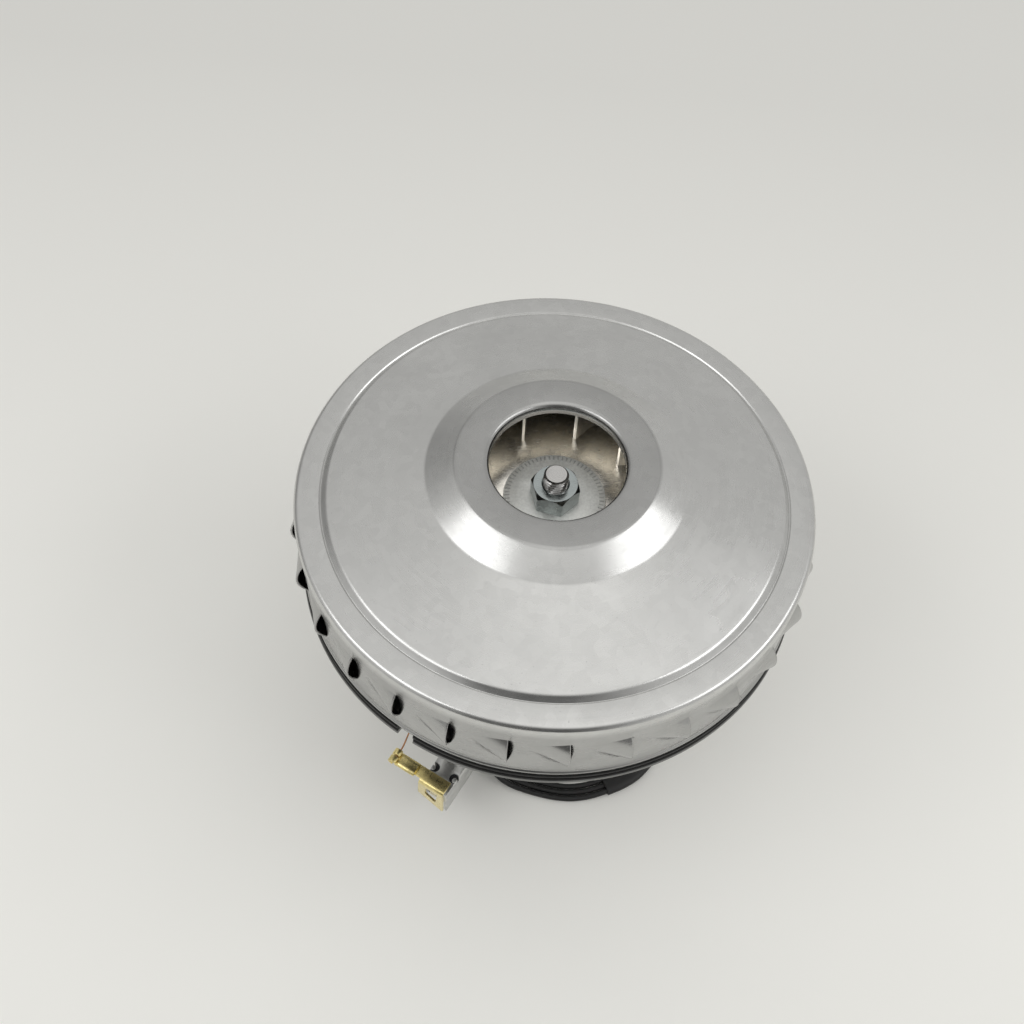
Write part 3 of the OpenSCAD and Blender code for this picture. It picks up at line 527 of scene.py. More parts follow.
def plain_sheet(name, colour, rough):
    """Rolled sheet with fine directional grain and handling marks."""
    look = Look(name, colour, 1.0, rough)
    grain = look.noise(1, 3, look.stretched(0.4, 7, 3))
    mark = look.noise(3.5, 4, rough=0.65)
    base = look.mixed(look.between(mark, 0.45, 0.72, 0, 0.6), colour, shade(colour, 0.74))
    look.set("Base Color", base)
    look.set("Roughness", look.math("ADD", look.between(grain, 0.3, 0.7, rough - 0.06, rough + 0.08),
                                    look.between(mark, 0.4, 0.7, 0, 0.08)))
    look.bump((grain, 0.01), (mark, 0.02))
    return look.material


def moulded(name, colour, rough, grain_size=0.35, depth=0.012, floor_reflection_below=None, **sockets):
    """Moulded plastic, rubber or resin: fine grain, faint flow marks and dust; paler below a height, a
    painted reflection of the bright floor.
    """
    look = Look(name, colour, 0.0, rough, **sockets)
    grain = look.noise(grain_size, 2)
    flow = look.noise(7, 3)
    dust = look.noise(1.3, 4, rough=0.7)
    base = look.mixed(look.between(flow, 0.35, 0.7, 0, 1), shade(colour, 0.85), shade(colour, 1.2))
    dusty = tuple(0.8 * c + 0.05 for c in colour)
    base = look.mixed(look.between(dust, 0.6, 0.8, 0, 0.6), base, dusty)
    if floor_reflection_below:
        # Painted reflection: below the height the colour goes paler, as if the surface caught the bright
        # floor.
        painted_floor_reflection = look.between(look.along("Z"), floor_reflection_below - 0.1, floor_reflection_below + 0.1, 0.8, 0)
        base = look.mixed(painted_floor_reflection, base, (0.3, 0.3, 0.29))
    look.set("Base Color", base)
    look.set("Roughness", look.between(flow, 0.3, 0.7, rough - 0.06, rough + 0.08))
    look.bump((grain, depth))
    return look.material


def grained_washer(name, colour):
    """Hub washer: coarse matte grain with a ring of short pressed marks near its edge, painted darker as
    shade in the dents.
    """
    look = Look(name, colour, 0.6, 0.5)
    grain = look.noise(0.7, 4, rough=0.7)
    mark_r, mark_half, mark_pitch = hub_top_r - 1.1, 0.7, 1.15
    mark = look.bands(mark_pitch, "Y", 0.8, look.round_axis(1, mark_r, 1))
    off_ring = look.math("ABSOLUTE", look.math("SUBTRACT", look.radius(), mark_r))
    pressed_and_shade = look.math("MULTIPLY", look.between(mark, 0.12, 0.3, 1, 0),
                        look.between(off_ring, mark_half - 0.2, mark_half, 1, 0))
    base = look.mixed(look.between(grain, 0.3, 0.7, 0, 1), shade(colour, 0.85), shade(colour, 1.1))
    # Painted shade: the pressed marks are darkened as if shade lay in the dents.
    look.set("Base Color", look.mixed(look.math("MULTIPLY", pressed_and_shade, 0.4), base, shade(colour, 0.3)))
    look.set("Roughness", look.between(grain, 0.3, 0.7, 0.36, 0.55))
    look.bump((grain, 0.03), (pressed_and_shade, 0.1))
    return look.material


def stacked_sheets(name, colour):
    """Lacquered sheet stack: a dark line between every two sheets, with rust-brown stains."""
    look = Look(name, colour, 0.75, 0.45)
    layer = look.bands(0.5)
    stain = look.noise(6, 4)
    base = look.mixed(look.between(layer, 0.05, 0.35, 1, 0), colour, shade(colour, 0.35))
    look.set("Base Color", look.mixed(look.between(stain, 0.52, 0.75, 0, 0.55), base, (0.16, 0.1, 0.07)))
    look.set("Roughness", look.between(stain, 0.3, 0.7, 0.36, 0.55))
    look.bump((layer, 0.04), (look.noise(0.8, 3), 0.02))
    return look.material


def pressed_paper(name, colour):
    """Insulating paper with its fibres."""
    look = Look(name, colour, 0.0, 0.75)
    fibre = look.noise(0.8, 4, look.stretched(1, 1, 0.25))
    base = look.mixed(look.between(fibre, 0.35, 0.7, 0, 1), shade(colour, 0.8), shade(colour, 1.15))
    look.set("Base Color", base)
    look.bump((fibre, 0.03))
    return look.material


def varnished_copper(name, colour):
    """Enamelled wire: colour changes along the wire, with darker varnish between."""
    look = Look(name, colour, 1.0, 0.3, Coat_Weight=0.4, Coat_Roughness=0.15, Coat_Tint=(1.0, 0.82, 0.6, 1))
    patch = look.noise(3, 3)
    fine = look.noise(0.5, 2)
    base = look.mixed(look.between(patch, 0.35, 0.7, 0, 1), shade(colour, 0.72), shade(colour, 1.1))
    look.set("Base Color", look.mixed(look.between(fine, 0.6, 0.75, 0, 0.5), base, (0.3, 0.12, 0.06)))
    look.set("Roughness", look.between(patch, 0.3, 0.7, 0.24, 0.42))
    look.bump((fine, 0.01))
    return look.material


def pressed_brass(name, colour):
    """Brass strip: rolling lines, tarnish and brighter rubbed spots."""
    look = Look(name, colour, 1.0, 0.3)
    rolled = look.noise(1, 3, look.stretched(5, 5, 0.6))
    tarnish = look.noise(2.2, 4, rough=0.6)
    base = look.mixed(look.between(tarnish, 0.42, 0.72, 0, 0.8), shade(colour, 1.2), (0.5, 0.42, 0.19))
    # The bent tabs are painted paler than the strips above them: painted light on the bent faces.
    on_tab = look.between(look.along("Z"), arm_top - 0.6, arm_top + 0.3, 0.85, 0)
    base = look.mixed(on_tab, base, (0.86, 0.77, 0.5))
    look.set("Base Color", base)
    look.set("Roughness", look.math("ADD", look.between(rolled, 0.3, 0.7, 0.2, 0.32),
                                    look.between(tarnish, 0.4, 0.7, 0, 0.12)))
    look.bump((rolled, 0.01), (tarnish, 0.015))
    return look.material


def slot_colour(slot):
    found = [m for m in frame["record"]["materials"] if m["slot"] == slot]
    return tuple(found[0]["base_color"])


LOOKS = {
    "cover_steel": sheet_steel("cover_steel", shade(slot_colour("cover_steel"), 0.95), 0.27, 2.4, 0.03,
                               face_r + 0.4),
    "frame_steel": sheet_steel("frame_steel", shade(slot_colour("frame_steel"), 1.1), 0.34, 3.2, 0.09),
    "seal_rubber": moulded("seal_rubber", (0.006, 0.006, 0.006), 0.5, 0.5, 0.015, ring_low.z + 1.3,
                           Specular_IOR_Level=0.18),
    "black_plastic": moulded("black_plastic", (0.014, 0.014, 0.015), 0.5, Specular_IOR_Level=0.2),
    "bright_steel": turned_steel("bright_steel", slot_colour("bright_steel"), 0.28),
    "bearing_steel": turned_steel("bearing_steel", slot_colour("bearing_steel"), 0.16),
    "fan_aluminium": plain_sheet("fan_aluminium", (0.95, 0.915, 0.845), 0.3),
    "fan_floor": plain_sheet("fan_floor", (0.95, 0.915, 0.845), 0.2),
    "hub_washer": grained_washer("hub_washer", (0.9, 0.91, 0.88)),
    "nut_zinc": plain_sheet("nut_zinc", (0.45, 0.49, 0.49), 0.18),
    "laminations": stacked_sheets("laminations", slot_colour("laminations")),
    "insulation": pressed_paper("insulation", slot_colour("insulation")),
    "copper": varnished_copper("copper", slot_colour("copper")),
    "commutator_resin": moulded("commutator_resin", slot_colour("commutator_resin"), 0.45),
    "brass": pressed_brass("brass", shade(slot_colour("brass"), 1.2)),
    "carbon": moulded("carbon", (0.03, 0.03, 0.032), 0.55, 0.25, 0.02),
    "lead_black": moulded("lead_black", (0.012, 0.012, 0.012), 0.55, 0.4, 0.01),
    "connector_plastic": moulded("connector_plastic", slot_colour("connector_plastic"), 0.35),
}


# Nodes whose finish differs from the rest of their slot
OWN_LOOK = {"impeller_bottom_plate": "fan_floor", "impeller_upper_washer": "hub_washer"}


# Camera, at the photograph's viewing angle

def camera():
    lens = bpy.data.cameras.new("camera")
    lens.lens = 38.67
    lens.sensor_width = 36
    lens.sensor_fit = "HORIZONTAL"
    lens.clip_start = 0.01
    eye = bpy.data.objects.new("camera", lens)
    right = Vector((0.99407, 0.10570, 0.02549))
    up = Vector((-0.10233, 0.83016, 0.54805))
    ahead = Vector((-0.03677, 0.54741, -0.83605))
    turn = Matrix((right, up, -ahead)).transposed().to_4x4()
    place = Vector((0, -0.16296, 0.34201))
    eye.matrix_world = Matrix.Translation(place) @ turn
    bpy.context.scene.collection.objects.link(eye)
    bpy.context.scene.camera = eye


# Leads

def beside(route, side):
    """A route moved sideways, to the left of its direction."""
    line = [Vector(p) for p in route]
    last = len(line) - 1
    moved = []
    for i, here in enumerate(line):
        ahead = (line[min(i + 1, last)] - line[max(i - 1, 0)]).normalized()
        moved.append(here + side * Vector((-ahead.y, ahead.x, 0)).normalized())
    return moved


def lead(name, side, with_pieces=()):
    path = smooth_path(beside(lead_route, side), 4)
    line = bpy.data.curves.new(name, "CURVE")
    line.dimensions = "3D"
    line.bevel_depth = lead_d / 2 * MM
    line.bevel_resolution = 4
    line.use_fill_caps = True
    spline = line.splines.new("POLY")
    spline.points.add(len(path) - 1)
    for point, here in zip(spline.points, path):
        point.co = (*(here * MM), 1)
    wire = bpy.data.objects.new(name + "_wire", line)
    settle(wire, LOOKS["lead_black"], "root", [name])


def lead_sleeve():
    """Soft sleeve pulled over the three leads."""
    half_w = lead_pitch + lead_d / 2 + sleeve_gap
    half_h = lead_d / 2 + sleeve_gap

    def skin(a):
        return squared_oval(half_w, half_h, a)

    def bore(a):
        return squared_oval(half_w - sleeve_wall, half_h - sleeve_wall, a)

    path = smooth_path(lead_route[sleeve_first:sleeve_last + 1], 6)
    sides = 32
    outside = tube(path, 0, sides, skin)[0]
    inside = tube(path, 0, sides, bore)[0]
    rows = len(path)
    points = outside + [p for i in reversed(range(rows)) for p in inside[i * sides:(i + 1) * sides]]
    return piece("soft_sleeve", Shape().add(points, grid_faces(2 * rows, sides, True, True)), "lead_black",
                 stands_for=["lead_sleeve"])


# Fan cover

def share(value, low, high):
    """How far a value lies from a low to a high end, held between 0 and 1."""
    return min(1.0, max(0.0, (value - low) / (high - low)))


def louvre_ends(s):
    """Top and bottom of a louvre, a length s behind its mouth; past its tip they open out again."""
    open_out = share(s, hood_reach, louvre_pitch)
    back = share(s, 0, hood_reach) - open_out
    return louvre_top + (hood_tip_top - louvre_top) * back, louvre_low + (hood_tip_low - louvre_low) * back


def belly(u):
    """Bulge of a louvre between its bottom at 0 and its top at 1."""
    return max(0.0, 4 * u * (1 - u))


def fan_cover():
    steps = [0, 0.3, 0.7, 1.3, 2, 3, 4.2, 5.5, 7, 8.5, 10, 11.2, 12.2, 13, 13.6, 14.1]
    louvre_rows = 17
    disc = rounded([
        (inlet_r, lip_z, 0), (inlet_r, inlet_z, 1.5), (face_r, inlet_z, 1.5), (cone_foot_r, cone_foot_z, 3.5),
        (bead_r, bead_z, 2), (groove_r, groove_z, 0.15),
        (groove_r + groove_w, rim_z, 0.15), (cover_r, rim_z, rim_bend), (cover_r, rim_z - 2 * rim_bend, 0),
    ])
    hem_top = cover_z + hem_h + 2 * hem_out
    hem = rounded([(cover_r, hem_top, 0), (cover_r, cover_z + hem_h + hem_out, 0.6),
                   (cover_r + hem_out, cover_z + hem_h, 0.5), (cover_r + hem_out, cover_z, 0)], 3)[1:]
    levels = [0.5 + 0.5 * math.cos(math.pi * i / (louvre_rows - 1)) for i in range(louvre_rows)]
    below = [0.72, 0.38, 0.0]
    first = len(disc)
    mouth_rows = range(first + 1, first + louvre_rows - 1)
    row_count = first + louvre_rows + len(below) + len(hem)

    def place(i, s):
        """Length behind the mouth, radius and height of the point in row i and at a step s."""
        if i < first:
            return s, disc[i].x, disc[i].y
        if i >= first + louvre_rows + len(below):
            foot = hem[i - first - louvre_rows - len(below)]
            return s, foot.x, foot.y
        top, low = louvre_ends(s)
        if i >= first + louvre_rows:
            return s, cover_r, hem_top + (low - hem_top) * below[i - first - louvre_rows]
        u = levels[i - first]
        rise = hood_rise * (1 - share(s, 0, hood_reach)) ** 1.5 * belly(u)
        ahead = share(s, hood_reach, louvre_pitch)
        dent = mouth_dent * ahead ** 4 * belly(u)
        return s - mouth_cut * ahead ** 1.5 * belly(u), cover_r + rise - dent, low + (top - low) * u

    def point(i, j, s):
        back, r, z = place(i, s)
        return polar(r, louvre_phase - 360 / louvre_n * j - math.degrees(back / cover_r), z)

    shape = Shape()
    shape.points = [point(i, j, s) for i in range(row_count) for j in range(louvre_n) for s in steps]
    # The wall's own edge of each mouth, apart from the louvre's edge
    edge = {}
    for i in mouth_rows:
        for j in range(louvre_n):
            edge[i, j] = len(shape.points)
            shape.points.append(point(i, j - 1, louvre_pitch))
    per = len(steps)
    columns = louvre_n * per
    for i in range(row_count - 1):
        for c in range(columns):
            nxt = (c + 1) % columns
            right = [i * columns + nxt, (i + 1) * columns + nxt]
            if nxt % per == 0:
                right = [edge.get((i, nxt // per), right[0]), edge.get((i + 1, nxt // per), right[1])]
            shape.faces.append([i * columns + c, right[0], right[1], (i + 1) * columns + c])
    cover = piece("cover_sheet", shape, "cover_steel", stands_for=["fan_cover"], closed=False, sharp=42)
    sheet = cover.modifiers.new("sheet", "SOLIDIFY")
    sheet.thickness = sheet_t * MM
    sheet.offset = -1
    sheet.use_even_offset = False


# Seal ring, nut and shaft

def seal_ring():
    inner, seat, lip, band, groove, top = 66.65, 68.25, 68.6, 68.3, 68.0, 68.1
    split_az = 242.8
    split = 4.8
    gap = math.degrees(split / ring_high.x)
    z = ring_low.z
    outline = rounded([
        (inner, z + 2, 0), (inner, z, 0.2), (seat, z, 0.25), (lip, z + 0.4, 0.25), (lip, z + 1.1, 0.25),
        (band, z + 1.4, 0.2), (band, z + 2, 0.15), (groove, z + 2.3, 0.1), (groove, z + 2.6, 0.1),
        (band, z + 2.9, 0.15), (band, z + 3.9, 0.3), (top, z + 4.3, 0.2), (inner, z + 4.3, 0.2),
        (inner, z + 2, 0),
    ], 3)[:-1]
    shape = Shape().add(*lathe(outline, 240, split_az + gap / 2, 360 - gap, closed=True))
    piece("split_ring", shape, "seal_rubber", stands_for=["seal_ring"])


def hex_radius(angle, flat):
    return flat / math.cos(math.radians((angle - nut_turn) % 60 - 30))


def impeller_nut():
    corner, corner_cut = 6.7, 0.12
    flat, face_inset = corner * math.cos(math.radians(30)), 0.05
    thread = 3.3
    chamfer_slope = 1.3
    edge_break, bore_break = 0.1, 0.4
    base, top = nut_low.z, nut_high.z
    columns, rows = 144, 7
    points = []
    for row in range(rows):
        for k in range(columns):
            angle = 360 * k / columns
            edge = min(hex_radius(angle, flat), corner - corner_cut)
            drop = chamfer_slope * (edge - flat + face_inset)
            r, z = [(thread, base), (edge - edge_break, base), (edge, base + edge_break), (edge, top - drop),
                    (flat - face_inset, top), (thread + bore_break, top), (thread, top - bore_break)][row]
            points.append(polar(r, angle, z))
    shape = Shape().add(points, grid_faces(rows, columns, wrap_rows=True, wrap_columns=True))
    piece("hex_nut", shape, "nut_zinc", "rotor", ["impeller_nut"], sharp=25)


def shaft():
    r, thread_r, axis_r = 4.0, 3.3, 0.02
    pitch, depth, flank = 1.0, 0.5, 2.6
    thread_z, tip = plate_high.z, 0.6
    z0, z1 = shaft_low.z, shaft_high.z
    thread_l = z1 - tip - thread_z
    row_h = 0.2
    rows = int(thread_l / row_h)
    profile = [(axis_r, z0), (r - tip, z0), (r, z0 + tip), (r, thread_z), (thread_r, thread_z)]
    profile += [(thread_r, thread_z + thread_l * i / rows) for i in range(1, rows + 1)]
    profile += [(thread_r - tip, z1), (axis_r, z1)]

    def groove(angle, radius, z):
        if radius != thread_r or z <= thread_z:
            return radius
        phase = (z / pitch - angle / 360) % 1
        return radius - depth * max(0.0, 1 - flank * abs(phase - 0.5))

    shape = Shape().add(*lathe(profile, 48, push=groove))
    piece("threaded_shaft", shape, "bright_steel", "rotor", ["shaft"])


# Windings and springs

def coil_loop(grow, t):
    """Point of a coil's rounded outline at a share t of one turn, with the outline grown by a distance."""
    corner = max(coil_corner + grow, 0.5)
    half_y = coil_out_y + grow - corner
    half_z = coil_out_z + grow - corner
    quarter = int(t * 4) % 4
    part = t * 4 - int(t * 4)
    centres = [(half_y, half_z), (-half_y, half_z), (-half_y, -half_z), (half_y, -half_z)]
    arc = 0.6
    y, z = centres[quarter]
    if part < arc:
        a = math.radians(90 * (quarter + part / arc))
        return y + corner * math.cos(a), z + corner * math.sin(a)
    a = math.radians(90 * (quarter + 1))
    ny, nz = centres[(quarter + 1) % 4]
    onward = (part - arc) / (1 - arc)
    ry, rz = corner * math.cos(a), corner * math.sin(a)
    return y + ry + (ny - y) * onward, z + rz + (nz - z) * onward


def field_coil(name, side):
    """One unbroken wire wound in layers round a pole, to and fro along the coil's depth."""
    per_turn = 40
    turns = 7
    pitch = (coil_depth - coil_wire_d) / (turns - 1)
    layer_pitch = coil_wire_d * 1.02
    layers = int((coil_out_y - coil_in_y) / layer_pitch)
    path = []
    place = turned_by(pole_az + side) @ Matrix.Translation((coil_x, 0, stack_mid))
    total = layers * turns * per_turn
    for i in range(total + 1):
        layer = min(i // (turns * per_turn), layers - 1)
        along = i / per_turn - layer * turns
        step = along / turns * (turns - 1)
        depth = step if layer % 2 == 0 else turns - 1 - step
        grow = -coil_wire_d / 2 - (layers - 1 - layer) * layer_pitch
        y, z = coil_loop(grow, i / per_turn % 1)
        path.append(place @ Vector((coil_wire_d / 2 + depth * pitch, y, z)))
    piece(name + "_winding", Shape().add(*tube(path, coil_wire_d / 2, 6)), "copper", stands_for=[name])


def armature_winding():
    """End turns of the armature: wires that leave a slot, bend round the shaft and enter another slot."""
    slots, throw = 22, 10
    layers, layer_turn, layer_step = 4, 0.22, 2.2
    steps = 24
    wire = 0.5
    end_r, edge_r, slot_r, hub_r, bore_r = 17.0, 15.0, 10.5, 5.6, 4.0
    end_drop, edge_drop, hub_drop, hub_run, bore_drop = 2.5, 1.5, 0.6, 6.0, 2.0
    bar_in, bar_out, bar_half = 10.8, 17.4, 1.0
    past_core = 0.6
    core_low, core_high = stack_low.z - past_core, stack_high.z + past_core
    chord = math.cos(math.radians(180 * throw / slots))
    shape = Shape()

    def crown(r):
        """Distance of the winding's surface below its top, at a radius."""
        if r > edge_r:
            return edge_drop + end_drop * (r - edge_r) / (end_r - edge_r)
        return edge_drop * max(r - slot_r, 0) / (edge_r - slot_r) + hub_drop * max(slot_r - r, 0) / hub_run

    def end_turn(slot, layer, top, up):
        """Path of one wire over an end of the core."""
        path = []
        for k in range(steps + 1):
            t = k / steps
            angle = 360 / slots * (slot + layer_turn * layer + throw * t)
            reach = chord / max(chord, math.cos(math.radians(360 / slots * throw * (t - 0.5))))
            r = max(reach * (end_r - wire), hub_r + layer_step * layer)
            r = r + (end_r - wire - r) * (2 * t - 1) ** 8
            path.append(polar(r, angle, top - up * (crown(r) + wire)))
        return path

    for top, up, base in ((winding_high.z, 1, core_high), (winding_low.z, -1, core_low)):
        line = [(bore_r, base), (end_r - wire, base)]
        line += [(r, top - up * (crown(r) + wire)) for r in (end_r - wire, 15.5, 14, 12, 10, 8, 6)]
        line += [(bore_r, top - up * bore_drop)]
        shape.add(*lathe(line, 3 * slots, closed=True))
        for slot in range(slots):
            for layer in range(layers):
                path = end_turn(slot, layer, top, up)
                feet = [Vector((p.x, p.y, base)) for p in (path[0], path[-1])]
                shape.add(*tube([feet[0]] + path + [feet[1]], wire, 5))
    bar = [(bar_in, -bar_half), (bar_out, -bar_half), (bar_out, bar_half), (bar_in, bar_half)]
    for slot in range(slots):
        place = turned_by(360 / slots * slot) @ Matrix.Translation((0, 0, core_low))
        shape.add(*slab(bar, core_high - core_low), place)
    piece("armature_wires", shape, "copper", "rotor", ["armature_winding"])


def at_brush(side):
    return turned_by(brush_az + side)


def brush_spring(letter, side):
    place = at_brush(side)
    per_turn = 20
    path = [Vector((spring_from, spring_r, brush_z))]
    run = spring_to - spring_from - 4 * spring_wire_r
    for i in range(spring_turns * per_turn + 1):
        a = 2 * math.pi * i / per_turn
        x = spring_from + 2 * spring_wire_r + run * i / (spring_turns * per_turn)
        path.append(Vector((x, spring_r * math.cos(a), brush_z + spring_r * math.sin(a))))
    path.append(Vector((spring_to, spring_r, brush_z)))
    shape = Shape().add(*tube([place @ p for p in path], spring_wire_r, 8))
    spring = piece("spring_wire_" + letter, shape, "bright_steel", stands_for=["brush_spring_" + letter])
    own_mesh(spring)


def coil_wires():
    shape = Shape()
    for side in (0, 180):
        path = [at_brush(side) @ p for p in smooth_path(wire_route, 8)]
        shape.add(*tube(path, wire_r, 10))
    piece("fine_wires", shape, "copper", stands_for=["coil_wires"])


# Brush terminals

def thick_sheet(path, sides, thickness):
    """A bent strip: a path of (x, z) points with the strip's two side positions at each point."""
    last = len(path) - 1
    points = []
    for i, here in enumerate(path):
        ahead = (path[min(i + 1, last)] - path[max(i - 1, 0)]).normalized()
        half = Vector((-ahead.y, ahead.x)) * (thickness / 2)
        low, high = here - half, here + half
        for p, y in ((low, sides[i][0]), (low, sides[i][1]), (high, sides[i][1]), (high, sides[i][0])):
            points.append(Vector((p.x, y, p.y)))
    faces = grid_faces(len(path), 4, wrap_columns=True)
    faces.append([3, 2, 1, 0])
    faces.append([4 * last + k for k in range(4)])
    return points, faces


def window_plate(outside, window, thickness):
    """A flat plate with a window; both outlines have the same number of points."""
    count = len(outside)
    points = [Vector((p.x, p.y, z)) for line, z in (
        (outside, 0), (outside, thickness), (window, thickness), (window, 0)) for p in line]
    return points, grid_faces(4, count, wrap_rows=True, wrap_columns=True)


def closed_round(corners, steps=4):
    """A closed outline of (x, y, radius) corners."""
    return rounded([corners[-1]] + corners + [corners[0]], steps)[1:-1]


def terminal_tab(shape, place):
    """Flat strip across the arm, with its end bent down into a tab that has a window."""
    lean = math.radians(tab_lean)
    down = Vector((math.sin(lean), -math.cos(lean)))
    tab_y = strip_end_y - tab_w
    flat_l, bend_r, bend_l = 2.4, 0.9, 0.7
    plate_from, overlap = 1.3, 0.2
    corner_x = strip_out - 0.15
    foot = Vector((corner_x, strip_z)) + down * (plate_from + overlap)
    line = rounded([(strip_in, strip_z, 0), (strip_in + flat_l, strip_z, 0), (corner_x, strip_z, bend_r),
                    (foot.x, foot.y, 0)], 6)
    sides = [(barrel_y if p.x < corner_x - bend_l else tab_y, strip_end_y) for p in line]
    shape.add(*thick_sheet(line, sides, brass_t), place)
    outside = closed_round([
        (plate_from, tab_y, 0.1), (tab_l - 2.6, tab_y + 0.3, 0.6),
        (tab_l + 0.4, strip_end_y + 0.9, 0.3), (plate_from, strip_end_y, 0.1),
    ])
    window = closed_round([
        (plate_from + 0.3, tab_y + 2.6, 0.5), (tab_l - 3.6, tab_y + 2.8, 0.5),
        (tab_l - 2.2, tab_y + 6.6, 0.5), (plate_from + 0.3, tab_y + 6.8, 0.5),
    ])
    out = Vector((math.cos(lean), 0, math.sin(lean)))
    start = Vector((corner_x, 0, strip_z)) - out * (brass_t / 2)
    axes = Matrix((Vector((down.x, 0, down.y)), Vector((0, 1, 0)), out)).transposed().to_4x4()
    shape.add(*window_plate(outside, window, brass_t), place @ Matrix.Translation(start) @ axes)


def terminal_barrel(shape, place):
    """Crimp barrel: a flattened tube with a seam along its top."""
    half_w, half_h = 2.15, 0.9
    seam_depth, seam_half = 0.15, 0.3
    mid_x = (strip_in + strip_out) / 2

    def section(a):
        seam = seam_depth * max(0.0, 1 - abs(a - math.pi / 2) / seam_half)
        return squared_oval(half_w, half_h - seam, a)

    rolled = [Vector((mid_x, y, arm_top + half_h)) for y in (-13.9, -13.6, -11, -9.4, -7.6, -7.2)]
    shape.add(*tube(rolled, 0, 36, section), place)


def terminal_hook(shape, place):
    """Hook: two rolled strips side by side, on a narrow foot."""
    foot_y, foot_inset = -12.4, 0.5
    curl_r = hook_r - brass_t / 2
    curl_from, curl_to, curl_step = 270, 29, -15
    foot = [Vector((hook_y, strip_z)), Vector((foot_y, strip_z))]
    curl = [Vector((hook_y + curl_r * math.cos(math.radians(a)),
                    arm_top + hook_r + curl_r * math.sin(math.radians(a))))
            for a in range(curl_from, curl_to, curl_step)]
    across = place @ Matrix(((0, 1, 0, 0), (1, 0, 0, 0), (0, 0, 1, 0), (0, 0, 0, 1)))
    shape.add(*thick_sheet(foot, [(strip_in + foot_inset, strip_out - foot_inset)] * 2, brass_t), across)
    for near, far in ((strip_in, strip_in + 1.95), (strip_out - 1.9, strip_out + 0.1)):
        shape.add(*thick_sheet(curl, [(near, far)] * len(curl), brass_t), across)


def brush_terminal(letter, side):
    """Brass strip across the arm, with a crimped hook at one end and a bent tab at the other."""
    shape = Shape()
    for part in (terminal_tab, terminal_barrel, terminal_hook):
        part(shape, at_brush(side))
    piece("brass_terminal_" + letter, shape, "brass", stands_for=["brush_terminal_" + letter], bevel=0.12)


# Stage and light

# Room: brightness low down and at the ceiling, and windows by direction, tilt, width, height and radiance
sky_low = 0.615
sky_left = 0.68
sky_top = 1.06
viewer_dark = 0.8
corner_dark = 0.5
window_far = 1.2
WINDOWS = [
    ("left_window", 210, 48, 0.85, 0.42, 1.9),
    ("right_window", 352, 43, 0.9, 0.42, 1.9),
]


def stage():
    mesh = bpy.data.meshes.new("floor")
    half = 3.0
    front = -0.45
    below = 0.0002
    back_shade_from, back_shade_to, back_shade = -40, 320, 0.83
    corners = [(-half, front, 0), (half, front, 0), (half, half, 0), (-half, half, 0)]
    mesh.from_pydata(corners, [], [(0, 1, 2, 3)])
    floor = bpy.data.objects.new("floor", mesh)
    floor.location.z = -below
    bpy.context.scene.collection.objects.link(floor)
    colour = (0.95, 0.946, 0.911)
    look = Look("floor_paper", colour, 0.0, 0.8)
    paper = look.mixed(look.noise(60, 3), shade(colour, 0.985), shade(colour, 1.015))
    # Painted shade: the floor's colour darkens towards the back.
    far = look.between(look.along("Y"), back_shade_from, back_shade_to, 0, 1)
    look.set("Base Color", look.mixed(far, paper, shade(colour, back_shade)))
    floor.data.materials.append(look.material)


def softbox(name, place, aim, width, height, radiance):
    lamp = bpy.data.lights.new(name, "AREA")
    lamp.shape = "RECTANGLE"
    lamp.size = width
    lamp.size_y = height
    lamp.energy = radiance * math.pi * width * height
    thing = bpy.data.objects.new(name, lamp)
    way = Vector(aim) - Vector(place)
    thing.matrix_world = Matrix.Translation(place) @ way.to_track_quat("-Z", "Y").to_matrix().to_4x4()
    bpy.context.scene.collection.objects.link(thing)


def light():
    """Even room light that grows towards the ceiling, with a bright window on either side of the viewer."""
    world = bpy.data.worlds.new("room")
    world.use_nodes = True
    bpy.context.scene.world = world
    room = Nodes(world.node_tree)
    calc, ramp = room.math, room.between
    across, depth, height = room.split(room.new("ShaderNodeTexCoord").outputs["Generated"])
    upward = calc("POWER", ramp(calc("ARCSINE", height), math.radians(44), math.radians(70), 0, 1), 2.0)
    left = ramp(across, -0.05, -0.45, 1.0, 0.1)
    low = ramp(across, -0.25, -0.5, sky_low, sky_left)
    ceiling = ramp(calc("MULTIPLY", upward, left), 0.0, 1.0, low, sky_top)
    horizon = ramp(height, 0.0, 0.35, ramp(across, -0.3, 0.5, 0.75, 1.05), 1.0)
    viewer = calc("MULTIPLY", ramp(depth, -0.2, -0.6, 0, 1), ramp(height, 0.85, 0.6, 0, 1))
    viewer = calc("MULTIPLY", viewer, ramp(calc("ABSOLUTE", across), 0.3, 0.65, 1, 0))
    corner = calc("MULTIPLY", ramp(across, -0.35, -0.7, 0, 1), ramp(height, 0.65, 0.4, 0, 1))
    corner = calc("MULTIPLY", corner, ramp(depth, -0.15, 0.25, 0, 1))
    darker = calc("MAXIMUM", calc("MULTIPLY", viewer, viewer_dark), calc("MULTIPLY", corner, corner_dark))
    shaded = calc("SUBTRACT", 1.0, darker)
    strength = calc("MULTIPLY", calc("MULTIPLY", ceiling, horizon), shaded)
    background = room.tree.nodes["Background"].inputs
    room.feed(background["Strength"], strength)
    room.feed(background["Color"], (1.0, 0.995, 0.975, 1))
    centre = Vector((0, 0, 0.1))
    for name, turn, tilt, width, tall, radiance in WINDOWS:
        way = polar(math.cos(math.radians(tilt)), turn, math.sin(math.radians(tilt)))
        softbox(name, centre + window_far * way, centre, width, tall, radiance)


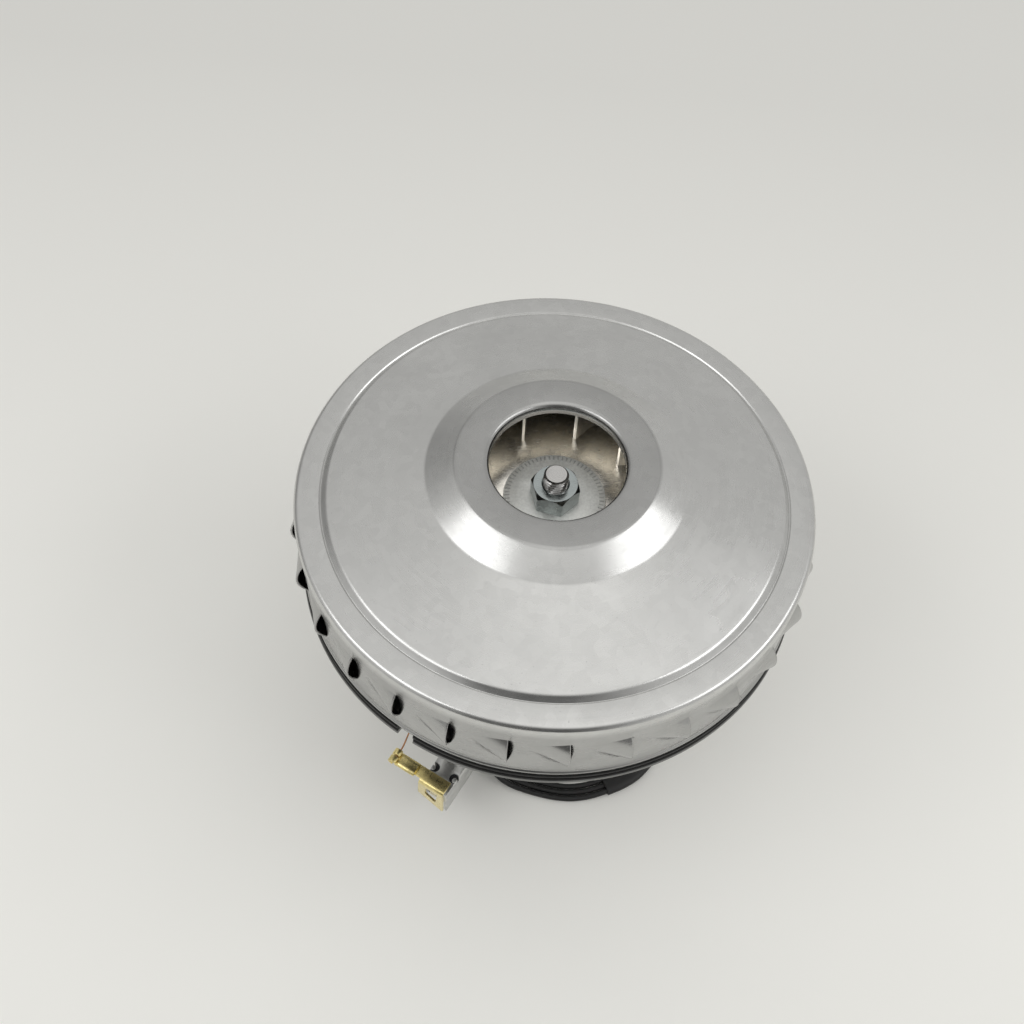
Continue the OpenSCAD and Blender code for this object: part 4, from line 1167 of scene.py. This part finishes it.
DRESSED = [
    ("root", "black_plastic", 0.25, ["diffuser", "brush_insulator_a", "brush_insulator_b"]),
    ("root", "frame_steel", 0.25, ["upper_bracket", "lower_frame", "bearing_retainer"]),
    ("root", "bright_steel", 0.2, ["retainer_screws", "stator_screws"]),
    ("root", "bright_steel", 0.1, ["upper_bearing_shields", "lower_bearing_shields", "wave_washer"]),
    ("root", "bearing_steel", 0.2, ["upper_bearing_outer_ring", "lower_bearing_outer_ring"]),
    ("rotor", "bearing_steel", 0.2, ["upper_bearing_inner_ring", "lower_bearing_inner_ring"]),
    ("upper_cage", "bearing_steel", 0.0, ["upper_bearing_balls"]),
    ("lower_cage", "bearing_steel", 0.0, ["lower_bearing_balls"]),
    ("upper_cage", "brass", 0.1, ["upper_bearing_cage"]),
    ("lower_cage", "brass", 0.1, ["lower_bearing_cage"]),
    ("rotor", "fan_aluminium", 0.12, ["impeller_top_plate", "impeller_blades", "impeller_bottom_plate"]),
    ("rotor", "bright_steel", 0.2, ["impeller_spacer", "impeller_lower_washer", "impeller_upper_washer",
                                    "shaft_collar", "commutator_spacer"]),
    ("rotor", "laminations", 0.1, ["armature_core"]),
    ("rotor", "insulation", 0.1, ["armature_end_discs"]),
    ("rotor", "commutator_resin", 0.1, ["commutator_hub"]),
    ("rotor", "copper", 0.1, ["commutator_bars"]),
    ("root", "laminations", 0.15, ["stator_core"]),
    ("root", "insulation", 0.1, ["slot_liners"]),
    ("root", "nut_zinc", 0.2, ["stator_nuts"]),
    ("root", "brass", 0.1, ["brush_tube_a", "brush_tube_b"]),
    ("brush_a", "carbon", 0.2, ["carbon_brush_a"]),
    ("brush_b", "carbon", 0.2, ["carbon_brush_b"]),
    ("root", "lead_black", 0.6, ["lead_grommet"]),
    ("root", "connector_plastic", 0.35, ["lead_connector"]),
]

camera()
for body, slot, bevel, nodes in DRESSED:
    for node in nodes:
        dressed(node, slot, body, bevel)
lead("lead_inner", lead_pitch, ["finished_lead_connector"])
lead("lead_outer", -lead_pitch, ["finished_lead_connector"])
lead("lead_middle", 0.0, [lead_sleeve(), "finished_lead_connector"])
fan_cover()
seal_ring()
impeller_nut()
shaft()
field_coil("field_coil_right", 0)
field_coil("field_coil_left", 180)
armature_winding()
coil_wires()
for letter, side in (("a", 0), ("b", 180)):
    brush_spring(letter, side)
    brush_terminal(letter, side)
stage()
light()
bpy.context.scene.view_settings.view_transform = "Standard"
